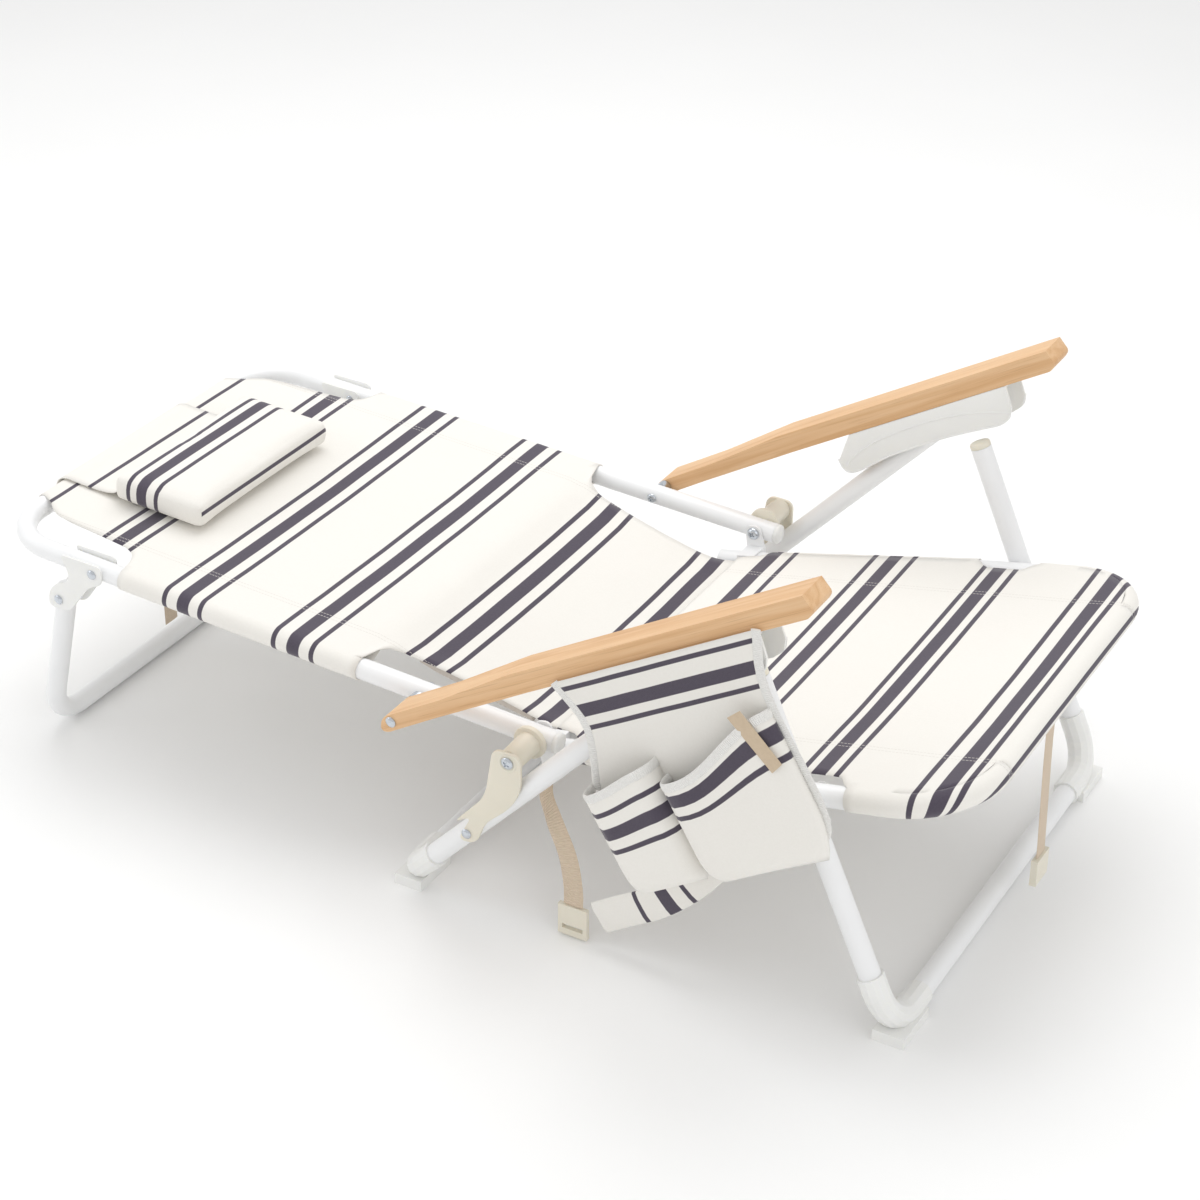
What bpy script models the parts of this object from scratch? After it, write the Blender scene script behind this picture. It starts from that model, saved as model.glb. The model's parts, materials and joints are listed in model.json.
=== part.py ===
"""Low folding beach chair with timber arms, modelled lying flat.

+X runs from the head to the front of the seat, +Y is the sitter's left, +Z is up.
The origin is on the ground, under the middle of the chair.
Each moving group hangs from an empty that stands on the group's hinge axis.
"""
import math

import bmesh
import bpy
from mathutils import Matrix, Vector

# ---- driving dimensions, in metres -------------------------------------------------
X_MID = 0.10125         # side-view X of the middle of the chair
Y_MID = -0.01755        # the organiser makes the right side wider than the left
TUBE_R = 0.0125         # 25 mm aluminium tube everywhere
GAP = 0.0003            # gap between touching pieces
BORE = 0.0003           # radial clearance round a bolt

# hinge axes in the side view (x, z)
HIP = (0.2310, 0.2313)          # back, seat bracket and link plates
SEAT_PIVOT = (0.5688, 0.2680)   # front leg on the seat rail
APEX = (0.4760, 0.4430)         # front leg, rear leg and arm rack
ARM_PIVOT = (0.0840, 0.2394)    # arm on the back rail
HEAD_PIVOT = (-0.4330, 0.2140)  # head leg in its brackets
LINK_END = (0.1760, 0.1178)     # link plate on the rear leg

# slopes in the side view, in degrees
BACK_SLOPE = 3.15
SEAT_SLOPE = 11.7
ARM_SLOPE = 30.5
FRONT_LEG_LEAN = 23.96
REAR_LEG_LEAN = 42.7
HEAD_LEG_LEAN = 13.5

# distance of each tube from the chair's middle plane
BACK_Y = 0.270
SEAT_Y = 0.266
SEAT_REAR_Y = 0.2408    # the rear of the seat rails passes inside the back rails
FRONT_LEG_Y = 0.2915
REAR_LEG_Y = 0.317
PLATE_Y = 0.3298        # inner face of the link plate
PLATE_T = 0.004

HOOP_LENGTH = 0.758     # hip axis to the hoop's top bar
HOOP_CORNER_R = 0.070
RAIL_PAST_HIP = 0.024
SEAT_REAR = -0.382      # along the seat rail from the front leg's pivot
SEAT_FRONT = 0.168
SEAT_CORNER_R = 0.085
FRONT_LEG_TOP = 0.154
FRONT_LEG_FOOT = 0.2750
REAR_LEG_LENGTH = 0.5802
HEAD_LEG_LENGTH = 0.2071

ARM_IN, ARM_OUT = 0.2945, 0.3395    # inner and outer side of the arm
ARM_UNDER, ARM_TOP = -0.007, 0.018
ARM_LENGTH = 0.577
RACK_REAR, RACK_FRONT = 0.258, 0.506
RACK_WALL = 0.003

CLOTH = 0.0015          # canvas thickness
SLEEVE_GAP = 0.0008     # room between a tube and its sleeve
SLEEVE_R = TUBE_R + SLEEVE_GAP + CLOTH

WHITE = (0.90, 0.90, 0.89)
IVORY = (0.82, 0.78, 0.68)
WOOD = (0.72, 0.48, 0.27)
CANVAS = (0.86, 0.84, 0.79)
WEBBING = (0.74, 0.66, 0.56)
ZINC = (0.60, 0.62, 0.66)

# ---- clear the scene ---------------------------------------------------------------
for old in list(bpy.data.objects):
    bpy.data.objects.remove(old, do_unlink=True)

scene_objects = bpy.context.scene.collection.objects


def material(name, colour, roughness, metallic=0.0):
    """A Principled material."""
    mat = bpy.data.materials.new(name)
    mat.use_nodes = True
    shader = mat.node_tree.nodes["Principled BSDF"]
    shader.inputs["Base Color"].default_value = (*colour, 1.0)
    shader.inputs["Roughness"].default_value = roughness
    shader.inputs["Metallic"].default_value = metallic
    return mat


PAINT = material("white_powder_coat", WHITE, 0.38)
PLASTIC = material("white_plastic", WHITE, 0.45)
HUB = material("ivory_plastic", IVORY, 0.5)
TIMBER = material("oiled_timber", WOOD, 0.55)
CLOTH_MAT = material("striped_canvas", CANVAS, 0.9)
STRAP_MAT = material("cotton_webbing", WEBBING, 0.9)
METAL = material("zinc_plated_steel", ZINC, 0.35, 1.0)


def empty(name, spot, lean_deg):
    """An empty on a hinge axis, turned about Y so that its X or Z runs along the group."""
    marker = bpy.data.objects.new(name, None)
    marker.location = (spot[0] - X_MID, -Y_MID, spot[1])
    marker.rotation_euler = (0.0, math.radians(lean_deg), 0.0)
    scene_objects.link(marker)
    return marker


BACK = empty("hip_axis", HIP, BACK_SLOPE)
SEAT = empty("seat_origin", SEAT_PIVOT, -SEAT_SLOPE)
ARM = empty("arm_axis", ARM_PIVOT, -ARM_SLOPE)
FRONT = empty("front_leg_axis", SEAT_PIVOT, -FRONT_LEG_LEAN)
REAR = empty("apex_axis", APEX, REAR_LEG_LEAN)
HEAD = empty("head_leg_axis", HEAD_PIVOT, HEAD_LEG_LEAN)
LINK = empty("link_axis", HIP, 0.0)
WORLD = empty("ground_origin", (0.0, 0.0), 0.0)


def local(group, spot):
    """Side-view (x, z) of a point, seen in a group's own axes."""
    angle = group.rotation_euler.y
    dx = spot[0] - X_MID - group.location.x
    dz = spot[1] - group.location.z
    return (dx * math.cos(angle) - dz * math.sin(angle),
            dx * math.sin(angle) + dz * math.cos(angle))


def add(name, bm, mat, group, smooth=True):
    """Turn a bmesh into an object under its group's empty."""
    bmesh.ops.recalc_face_normals(bm, faces=bm.faces)
    mesh = bpy.data.meshes.new(name)
    bm.to_mesh(mesh)
    bm.free()
    if smooth:
        mesh.shade_smooth()
        mesh.set_sharp_from_angle(angle=math.radians(35))
    obj = bpy.data.objects.new(name, mesh)
    if mat:
        obj.data.materials.append(mat)
    obj.parent = group
    scene_objects.link(obj)
    return obj


def rounded_path(corners, radii, steps=6):
    """A polyline through the corners, each corner replaced by an arc of its own radius."""
    points = [Vector(corners[0])]
    for i in range(1, len(corners) - 1):
        here = Vector(corners[i])
        back = (Vector(corners[i - 1]) - here).normalized()
        ahead = (Vector(corners[i + 1]) - here).normalized()
        half = back.angle(ahead) / 2.0
        reach = radii[i - 1] / math.tan(half)
        middle = here + (back + ahead).normalized() * (radii[i - 1] / math.sin(half))
        start = here + back * reach - middle
        axis = start.cross(here + ahead * reach - middle)
        turn = math.pi - 2.0 * half
        for k in range(steps + 1):
            points.append(middle + Matrix.Rotation(turn * k / steps, 3, axis) @ start)
    points.append(Vector(corners[-1]))
    return points


def tube_mesh(points, radius, sides=3):
    """Mesh of a capped tube along a polyline."""
    curve = bpy.data.curves.new("path", "CURVE")
    curve.dimensions = "3D"
    curve.bevel_depth = radius
    curve.bevel_resolution = sides
    curve.use_fill_caps = True
    spline = curve.splines.new("POLY")
    spline.points.add(len(points) - 1)
    for point, spot in zip(spline.points, points):
        point.co = (*spot, 1.0)
    holder = bpy.data.objects.new("path", curve)
    scene_objects.link(holder)
    graph = bpy.context.evaluated_depsgraph_get()
    mesh = bpy.data.meshes.new_from_object(holder.evaluated_get(graph))
    bpy.data.objects.remove(holder, do_unlink=True)
    bm = bmesh.new()
    bm.from_mesh(mesh)
    bmesh.ops.remove_doubles(bm, verts=bm.verts, dist=1e-6)
    bpy.data.meshes.remove(mesh)
    return bm


def tube(name, points, radius, mat, group, sides=3):
    return add(name, tube_mesh(points, radius, sides), mat, group)


def prism(outline, y0, y1):
    """Side-view outline extruded across the chair."""
    bm = bmesh.new()
    face = bm.faces.new([bm.verts.new((x, y0, z)) for x, z in outline])
    moved = bmesh.ops.extrude_face_region(bm, geom=[face])["geom"]
    bmesh.ops.translate(bm, vec=(0.0, y1 - y0, 0.0),
                        verts=[v for v in moved if isinstance(v, bmesh.types.BMVert)])
    return bm


def rounded_outline(corners, radii, steps=4):
    """Closed side-view outline with arcs at its corners."""
    count = len(corners)
    result = []
    for i in range(count):
        if radii[i] <= 0.0:
            result.append(corners[i])
            continue
        a, b, c = (Vector((*corners[(i + k) % count], 0.0)) for k in (-1, 0, 1))
        path = rounded_path([a, b, c], [radii[i]], steps)
        result.extend((p.x, p.y) for p in path[1:-1])
    return result


def block(x0, x1, y0, y1, z0, z1):
    """Axis-aligned block."""
    bm = bmesh.new()
    bmesh.ops.create_cube(bm, size=1.0)
    bmesh.ops.scale(bm, vec=(x1 - x0, y1 - y0, z1 - z0), verts=bm.verts)
    bmesh.ops.translate(bm, vec=((x0 + x1) / 2, (y0 + y1) / 2, (z0 + z1) / 2),
                        verts=bm.verts)
    return bm


def turned(profile, spot, segments=12):
    """Solid turned about an axis across the chair. The profile lists (y, radius)."""
    bm = bmesh.new()
    verts = [bm.verts.new((spot[0] + r, y, spot[1])) for y, r in profile]
    edges = [bm.edges.new(pair) for pair in zip(verts, verts[1:])]
    bmesh.ops.spin(bm, geom=verts + edges, cent=(spot[0], 0.0, spot[1]), axis=(0, 1, 0),
                   angle=math.tau, steps=segments, use_merge=True)
    bmesh.ops.remove_doubles(bm, verts=bm.verts, dist=1e-6)
    return bm


def side(sign, profile):
    """Mirror a turned profile to the sitter's right when the sign is negative."""
    return [(sign * y, r) for y, r in profile]


def boolean(obj, bm, operation, group):
    """Add a Boolean with its own hidden operand."""
    operand = add(obj.name + "_" + operation.lower(), bm, None, group, smooth=False)
    operand.hide_render = True
    operand.display_type = "WIRE"
    mod = obj.modifiers.new(operation.lower(), "BOOLEAN")
    mod.operation = operation
    mod.solver = "EXACT"
    mod.object = operand
    return operand


def bore(obj, spot, y0, y1, radius, group, segments=12):
    """Drill a hole across the chair."""
    cutter = turned([(y0, 0.0), (y0, radius), (y1, radius), (y1, 0.0)], spot, segments)
    boolean(obj, cutter, "DIFFERENCE", group)


SIDES = (("l", 1.0), ("r", -1.0))

# ---- back frame: hoop with its two rails --------------------------------------------
# The rails pass the hip axis by a little; a white cap closes each end.
hoop = rounded_path(
    [(RAIL_PAST_HIP, -BACK_Y, 0), (-HOOP_LENGTH, -BACK_Y, 0),
     (-HOOP_LENGTH, BACK_Y, 0), (RAIL_PAST_HIP, BACK_Y, 0)],
    [HOOP_CORNER_R, HOOP_CORNER_R], 7)
back_frame = tube("back_frame", hoop, TUBE_R, PAINT, BACK)
arm_on_back = local(BACK, ARM_PIVOT)
bracket_bolt = (-0.6085, 0.0)
BOLT_R = 0.003
for tag, sign in SIDES:
    for spot in ((0.0, 0.0), (arm_on_back[0], 0.0), bracket_bolt):
        bore(back_frame, spot, sign * 0.25, sign * 0.29, BOLT_R + BORE, BACK)
    cap = turned([(0.0, 0.0), (0.0, TUBE_R), (0.004, TUBE_R), (0.006, 0.009), (0.0065, 0.0)],
                 (0.0, 0.0))
    bmesh.ops.rotate(cap, cent=(0, 0, 0), matrix=Matrix.Rotation(-math.pi / 2, 3, "Z"),
                     verts=cap.verts)
    bmesh.ops.translate(cap, vec=(RAIL_PAST_HIP + GAP, sign * BACK_Y, 0), verts=cap.verts)
    add("rail_cap_" + tag, cap, PLASTIC, BACK)

# ---- hip: hub between rail and link plate, and one bolt through everything ----------
for tag, sign in SIDES:
    inner, outer = BACK_Y + TUBE_R + GAP, PLATE_Y - GAP
    hub = add("hip_hub_" + tag, turned(side(sign, [
        (inner, 0.0), (inner, 0.019), (inner + 0.004, 0.020), (inner + 0.007, 0.0185),
        (inner + 0.008, 0.0145), (outer, 0.0135), (outer, 0.0)]), (0, 0)), HUB, BACK)
    bore(hub, (0, 0), sign * 0.27, sign * 0.34, BOLT_R + BORE, BACK)
    plate_out = PLATE_Y + PLATE_T + GAP
    add("hip_bolt_" + tag, turned(side(sign, [
        (0.2490, 0.0), (0.2492, 0.005), (0.2515, 0.0075), (0.2537, 0.0078), (0.2537, BOLT_R),
        (plate_out, BOLT_R), (plate_out, 0.0072), (plate_out + 0.0016, 0.0066),
        (plate_out + 0.0026, 0.0045), (plate_out + 0.0028, 0.0)]), (0, 0)), METAL, BACK)

# ---- seat frame: U tube, open to the rear --------------------------------------------
FLARE_START, FLARE_END = -0.305, -0.030
seat_tube = [Vector((SEAT_REAR, -SEAT_REAR_Y, 0)), Vector((FLARE_START, -SEAT_REAR_Y, 0))]
seat_tube += rounded_path(
    [(FLARE_END, -SEAT_Y, 0), (SEAT_FRONT, -SEAT_Y, 0),
     (SEAT_FRONT, SEAT_Y, 0), (FLARE_END, SEAT_Y, 0)],
    [SEAT_CORNER_R, SEAT_CORNER_R], 8)
seat_tube += [Vector((FLARE_START, SEAT_REAR_Y, 0)), Vector((SEAT_REAR, SEAT_REAR_Y, 0))]
seat_frame = tube("seat_frame", seat_tube, TUBE_R, PAINT, SEAT)
hip_on_seat = local(SEAT, HIP)
for tag, sign in SIDES:
    bore(seat_frame, (0, 0), sign * 0.245, sign * 0.285, BOLT_R + BORE, SEAT)
    # flat bracket: a saddle round the seat rail and an ear up to the hip bolt
    ear = rounded_outline(
        [(hip_on_seat[0] - 0.012, 0.014), (hip_on_seat[0] - 0.010, hip_on_seat[1] + 0.010),
         (hip_on_seat[0] + 0.010, hip_on_seat[1] + 0.010), (hip_on_seat[0] + 0.012, 0.014)],
        [0, 0.008, 0.008, 0])
    foot = [(hip_on_seat[0] + 0.012, -0.0155), (hip_on_seat[0] - 0.012, -0.0155)]
    bracket = add("seat_bracket_" + tag, prism(ear + foot, sign * 0.2540, sign * 0.2570),
                  PAINT, SEAT)
    y_a, y_b = sorted((sign * 0.2258, sign * 0.2568))
    boolean(bracket, block(hip_on_seat[0] - 0.0118, hip_on_seat[0] + 0.0118, y_a, y_b,
                           -0.0154, 0.0150), "UNION", SEAT)
    groove = [Vector((hip_on_seat[0] + dx, sign * SEAT_REAR_Y, 0)) for dx in (-0.03, 0.03)]
    boolean(bracket, tube_mesh(groove, TUBE_R + GAP, 5), "DIFFERENCE", SEAT)
    bore(bracket, hip_on_seat, sign * 0.245, sign * 0.265, BOLT_R + BORE, SEAT)

# ---- front leg: U tube, plastic apex disc, shoes, pivot bolts ------------------------
front_tube = rounded_path(
    [(0, -FRONT_LEG_Y, FRONT_LEG_TOP), (0, -FRONT_LEG_Y, -FRONT_LEG_FOOT),
     (0, FRONT_LEG_Y, -FRONT_LEG_FOOT), (0, FRONT_LEG_Y, FRONT_LEG_TOP)], [0.045, 0.045], 6)
front_leg = tube("front_leg_frame", front_tube, TUBE_R, PAINT, FRONT)
apex_on_front = local(FRONT, APEX)
for tag, sign in SIDES:
    bore(front_leg, (0, 0), sign * 0.27, sign * 0.32, BOLT_R + BORE, FRONT)
    bore(front_leg, (0, 0), sign * 0.3008, sign * 0.32, 0.0066, FRONT)
    add("seat_pivot_bolt_" + tag, turned(side(sign, [
        (0.2475, 0.0), (0.2478, 0.004), (0.2495, 0.0075), (0.2531, 0.0090), (0.2531, BOLT_R),
        (0.3012, BOLT_R), (0.3012, 0.0060), (0.3036, 0.0060), (0.3039, 0.0)]), (0, 0)),
        PLASTIC, SEAT)
    # plug in the tube's top; its disc lies beside the rear leg on the apex pin, and its
    # top is cut flat so that it clears the arm
    disc_in, disc_out = 0.2980, 0.3040
    rise = math.asin(0.0102 / 0.0235)
    disc = [(apex_on_front[0] + 0.0235 * math.cos(a), apex_on_front[1] + 0.0235 * math.sin(a))
            for a in (rise - (math.pi + 2 * rise) * k / 20 for k in range(21))]
    plug = add("apex_plug_" + tag, prism(disc, sign * disc_in, sign * disc_out), HUB, FRONT)
    neck = turned([(0.0, 0.0), (0.0, TUBE_R), (0.0050, TUBE_R), (0.0065, 0.0110), (0.0065, 0.0)],
                  (0, 0))
    bmesh.ops.rotate(neck, cent=(0, 0, 0), matrix=Matrix.Rotation(math.pi / 2, 3, "X"),
                     verts=neck.verts)
    bmesh.ops.translate(neck, vec=(0, sign * FRONT_LEG_Y, FRONT_LEG_TOP + GAP), verts=neck.verts)
    boolean(plug, neck, "UNION", FRONT)
    boolean(plug, block(-0.008, 0.008, min(sign * 0.2982, sign * 0.3038),
                        max(sign * 0.2982, sign * 0.3038), FRONT_LEG_TOP + 0.002,
                        FRONT_LEG_TOP + 0.030), "UNION", FRONT)
    bore(plug, apex_on_front, sign * 0.29, sign * 0.31, BOLT_R + BORE, FRONT)

# ---- rear leg: wider U tube and the apex pin that rides in the rack ------------------
rear_tube = rounded_path(
    [(0, -REAR_LEG_Y, 0.0050), (0, -REAR_LEG_Y, -REAR_LEG_LENGTH),
     (0, REAR_LEG_Y, -REAR_LEG_LENGTH), (0, REAR_LEG_Y, 0.0050)], [0.045, 0.045], 6)
rear_leg = tube("rear_leg_frame", rear_tube, TUBE_R, PAINT, REAR)
for tag, sign in SIDES:
    bore(rear_leg, (0, 0), sign * 0.29, sign * 0.34, BOLT_R + BORE, REAR)
    add("apex_pin_" + tag, turned(side(sign, [
        (0.2978, 0.0), (0.2978, BOLT_R), (0.3301, BOLT_R), (0.3301, 0.0065),
        (0.3350, 0.0065), (0.3358, 0.0055), (0.3358, 0.0)]), (0, 0)), METAL, REAR)


# ---- plastic shoes at the four lower corners ------------------------------------------
def shoe(name, group, path, lean_deg, pad, mat=PLASTIC):
    """Half shell round a tube's lower bend, with a flat pad on the ground."""
    obj = add(name, tube_mesh(path, TUBE_R + 0.003, 4), mat, group)
    x0, x1, y0, y1, z0, z1 = pad
    base = block(x0, x1, min(y0, y1), max(y0, y1), z0, z1)
    # the pad is level with the ground, so it is built in world axes and turned back
    group_matrix = (Matrix.Translation(group.location)
                    @ Matrix.Rotation(group.rotation_euler.y, 4, "Y"))
    shift = group_matrix.inverted() @ Matrix.Translation((-X_MID, -Y_MID, 0))
    bmesh.ops.transform(base, matrix=shift, verts=base.verts)
    boolean(obj, base, "UNION", group)
    below = block(x0 - 0.1, x1 + 0.1, min(y0, y1) - 0.1, max(y0, y1) + 0.1, -0.05, z0)
    bmesh.ops.transform(below, matrix=shift, verts=below.verts)
    boolean(obj, below, "DIFFERENCE", group)
    longer = [path[0] + (path[0] - path[1]).normalized() * 0.02, *path,
              path[-1] + (path[-1] - path[-2]).normalized() * 0.02]
    boolean(obj, tube_mesh(longer, TUBE_R + GAP, 3), "DIFFERENCE", group)
    return obj


for tag, sign in SIDES:
    bend = rounded_path([(0, sign * FRONT_LEG_Y, -FRONT_LEG_FOOT + 0.070),
                         (0, sign * FRONT_LEG_Y, -FRONT_LEG_FOOT),
                         (0, sign * (FRONT_LEG_Y - 0.075), -FRONT_LEG_FOOT)], [0.045], 6)
    foot_x = SEAT_PIVOT[0] + FRONT_LEG_FOOT * math.sin(math.radians(FRONT_LEG_LEAN))
    shoe("front_shoe_" + tag, FRONT, bend, FRONT_LEG_LEAN,
         (foot_x - 0.020, foot_x + 0.018, sign * 0.232, sign * 0.296, 0.0, 0.014))
    bend = rounded_path([(0, sign * REAR_LEG_Y, -REAR_LEG_LENGTH + 0.060),
                         (0, sign * REAR_LEG_Y, -REAR_LEG_LENGTH),
                         (0, sign * (REAR_LEG_Y - 0.070), -REAR_LEG_LENGTH)], [0.045], 6)
    foot_x = APEX[0] - REAR_LEG_LENGTH * math.sin(math.radians(REAR_LEG_LEAN))
    shoe("rear_shoe_" + tag, REAR, bend, REAR_LEG_LEAN,
         (foot_x - 0.016, foot_x + 0.020, sign * 0.256, sign * 0.320, 0.0, 0.014))

# ---- link plates: hip bolt to rear leg -------------------------------------------------
link_dx, link_dz = LINK_END[0] - HIP[0], LINK_END[1] - HIP[1]
for tag, sign in SIDES:
    # dog-leg plate: wide round the hip, narrow round the rivet
    shape = rounded_outline(
        [(-0.019, 0.013), (0.0165, 0.012), (0.0165, -0.030), (0.004, -0.058),
         (link_dx + 0.024, link_dz + 0.022), (link_dx + 0.012, link_dz - 0.010),
         (link_dx - 0.012, link_dz - 0.012), (link_dx - 0.016, link_dz + 0.011),
         (link_dx + 0.006, link_dz + 0.024), (-0.030, -0.055)],
        [0.010, 0.010, 0.010, 0.015, 0.010, 0.010, 0.010, 0.008, 0.008, 0.015], 4)
    plate = add("link_plate_" + tag, prism(shape, sign * PLATE_Y, sign * (PLATE_Y + PLATE_T)),
                PLASTIC, LINK)
    bore(plate, (0, 0), sign * 0.32, sign * 0.34, BOLT_R + BORE, LINK)
    bore(plate, (link_dx, link_dz), sign * 0.32, sign * 0.34, BOLT_R + BORE, LINK)
    out = PLATE_Y + PLATE_T + GAP
    add("link_rivet_" + tag, turned(side(sign, [
        (PLATE_Y + 0.0001, 0.0), (PLATE_Y + 0.0001, BOLT_R), (out, BOLT_R), (out, 0.0062),
        (out + 0.001, 0.0058), (out + 0.0022, 0.0040), (out + 0.0026, 0.0)]),
        (link_dx, link_dz)), METAL, LINK)

# ---- arms: timber bar, rack channel under it, rivet at the rear -----------------------
for tag, sign in SIDES:
    bar = rounded_outline(
        [(-0.020, -0.006), (-0.012, ARM_UNDER - 0.004), (0.060, ARM_UNDER - 0.002),
         (0.200, ARM_UNDER), (ARM_LENGTH - 0.006, ARM_UNDER), (ARM_LENGTH + 0.004, 0.0),
         (ARM_LENGTH, ARM_TOP), (0.190, ARM_TOP), (0.080, ARM_TOP - 0.008),
         (-0.010, 0.008)],
        [0.006, 0.006, 0, 0.2, 0.003, 0.004, 0.004, 0.15, 0.15, 0.008], 3)
    y0, y1 = sign * ARM_IN, sign * ARM_OUT
    timber = add("arm_" + tag, prism(bar, y0, y1), TIMBER, ARM, smooth=False)
    bevel = timber.modifiers.new("edge", "BEVEL")
    bevel.width = 0.003
    bevel.segments = 2
    bevel.limit_method = "ANGLE"
    bevel.angle_limit = math.radians(60)
    bore(timber, (0, 0), sign * 0.28, sign * 0.35, BOLT_R + BORE, ARM)
    # cheeks with a lower edge that follows the pin's track, joined by a top web
    under = ARM_UNDER - GAP
    cheek = rounded_outline(
        [(RACK_REAR + 0.030, under), (RACK_REAR, -0.040), (RACK_REAR + 0.006, -0.055),
         (RACK_REAR + 0.030, -0.055), (0.330, -0.0485), (0.405, -0.0470), (0.460, -0.0500),
         (0.488, -0.0520), (RACK_FRONT, -0.040), (RACK_FRONT + 0.006, under)],
        [0, 0.008, 0.008, 0.05, 0.10, 0.10, 0.05, 0.015, 0.008, 0], 4)
    rack = add("rack_" + tag, prism(cheek, y0, y1), PLASTIC, ARM)
    lo, hi = sorted((sign * (ARM_IN + RACK_WALL), sign * (ARM_OUT - RACK_WALL)))
    boolean(rack, block(0.2, 0.6, lo, hi, -0.08, under - 0.0022), "DIFFERENCE", ARM)
    # rivet: head on the rail, a spacer between rail and arm, head on the arm
    out = ARM_OUT + GAP
    add("arm_rivet_" + tag, turned(side(sign, [
        (0.2545, 0.0), (0.2548, 0.0045), (0.2560, 0.0060), (0.2571, 0.0062), (0.2571, BOLT_R),
        (0.2829, BOLT_R), (0.2829, 0.0085), (0.2941, 0.0085), (0.2941, BOLT_R),
        (out, BOLT_R), (out, 0.0066), (out + 0.0012, 0.0060), (out + 0.0024, 0.0040),
        (out + 0.0028, 0.0)]), (0, 0)), METAL, ARM)

# ---- head leg brackets and the head leg ------------------------------------------------
pivot_on_back = local(BACK, HEAD_PIVOT)
for tag, sign in SIDES:
    for where, y0, y1 in (("outer", 0.2828, 0.2858), ("inner", 0.2542, 0.2572)):
        bx, px, pz = bracket_bolt[0], pivot_on_back[0], pivot_on_back[1]
        shape = rounded_outline(
            [(px + 0.006, 0.012), (bx + 0.014, 0.014), (bx + 0.014, -0.011),
             (bx - 0.006, -0.020), (px + 0.021, pz + 0.034), (px + 0.016, pz - 0.012),
             (px - 0.016, pz - 0.014), (px - 0.014, pz + 0.014)],
            [0.006, 0.010, 0.010, 0.015, 0.015, 0.008, 0.008, 0.02], 4)
        plate = add("head_bracket_%s_%s" % (where, tag), prism(shape, sign * y0, sign * y1),
                    PLASTIC, BACK)
        for spot in (bracket_bolt, pivot_on_back):
            bore(plate, spot, sign * 0.25, sign * 0.29, BOLT_R + BORE, BACK)
    bolt = [(0.2520, 0.0), (0.2522, 0.0035), (0.2539, 0.0055), (0.2539, BOLT_R),
            (0.2861, BOLT_R), (0.2861, 0.0058), (0.2873, 0.0052), (0.2884, 0.0035),
            (0.2886, 0.0)]
    add("bracket_bolt_" + tag, turned(side(sign, bolt), bracket_bolt), METAL, BACK)
    add("head_pivot_bolt_" + tag, turned(side(sign, bolt), pivot_on_back), METAL, BACK)

head_tube = rounded_path(
    [(0, -BACK_Y, 0.0125), (0, -BACK_Y, -HEAD_LEG_LENGTH),
     (0, BACK_Y, -HEAD_LEG_LENGTH), (0, BACK_Y, 0.0125)], [0.055, 0.055], 6)
head_leg = tube("head_leg_frame", head_tube, TUBE_R, PAINT, HEAD)
for tag, sign in SIDES:
    bore(head_leg, (0, 0), sign * 0.25, sign * 0.29, BOLT_R + BORE, HEAD)

# ---- back sling: sleeves round the rails and the top bar, a neck down to the seat -----
TOP, LOW = SLEEVE_R, SLEEVE_R - 0.0035
SLEEVE_END, SLEEVE_START = -0.231, -0.572
SEAM_Y = 0.222


def pocketed_sling(name, group, outline, sleeves, drop):
    """Flat panel with a tunnel round each tube. The outline lists (x, y) corners."""
    bm = bmesh.new()
    face = bm.faces.new([bm.verts.new((x, y, TOP)) for x, y in outline])
    moved = bmesh.ops.extrude_face_region(bm, geom=[face])["geom"]
    bmesh.ops.translate(bm, vec=(0.0, 0.0, LOW - TOP),
                        verts=[v for v in moved if isinstance(v, bmesh.types.BMVert)])
    obj = add(name, bm, CLOTH_MAT, group, smooth=False)
    for start, end in sleeves:
        boolean(obj, tube_mesh([Vector(start), Vector(end)], SLEEVE_R, 3), "UNION", group)
    for path in drop:
        boolean(obj, tube_mesh(path, TUBE_R + SLEEVE_GAP, 3), "DIFFERENCE", group)
    return obj


def mirrored(points):
    """Outline from its +Y half."""
    return points + [(x, -y) for x, y in reversed(points)]


back_outline = mirrored(
    [(-HOOP_LENGTH - 0.0005, 0.176), (-0.735, 0.205), (-0.700, SEAM_Y), (-0.600, SEAM_Y),
     (-0.582, 0.232), (SLEEVE_START, BACK_Y), (SLEEVE_END, BACK_Y), (-0.2270, 0.2210)])
rails = [(((SLEEVE_START), s * BACK_Y, 0), (SLEEVE_END, s * BACK_Y, 0)) for s in (1, -1)]
top_bar = [((-HOOP_LENGTH, -0.176, 0), (-HOOP_LENGTH, 0.176, 0))]
back_sling = pocketed_sling("back_sling", BACK, back_outline, rails + top_bar, [hoop])
# the neck slopes down from the back panel to the rear of the seat
neck_line = [(-0.2290, TOP), (-0.2023, 0.0), (-0.1507, -0.0096), (-0.0516, -0.0272)]
neck_outline = neck_line + [(x - 0.0008, z - 0.0035) for x, z in reversed(neck_line)]
neck = prism(neck_outline, -0.212, 0.212)
boolean(back_sling, neck, "UNION", BACK)

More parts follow.
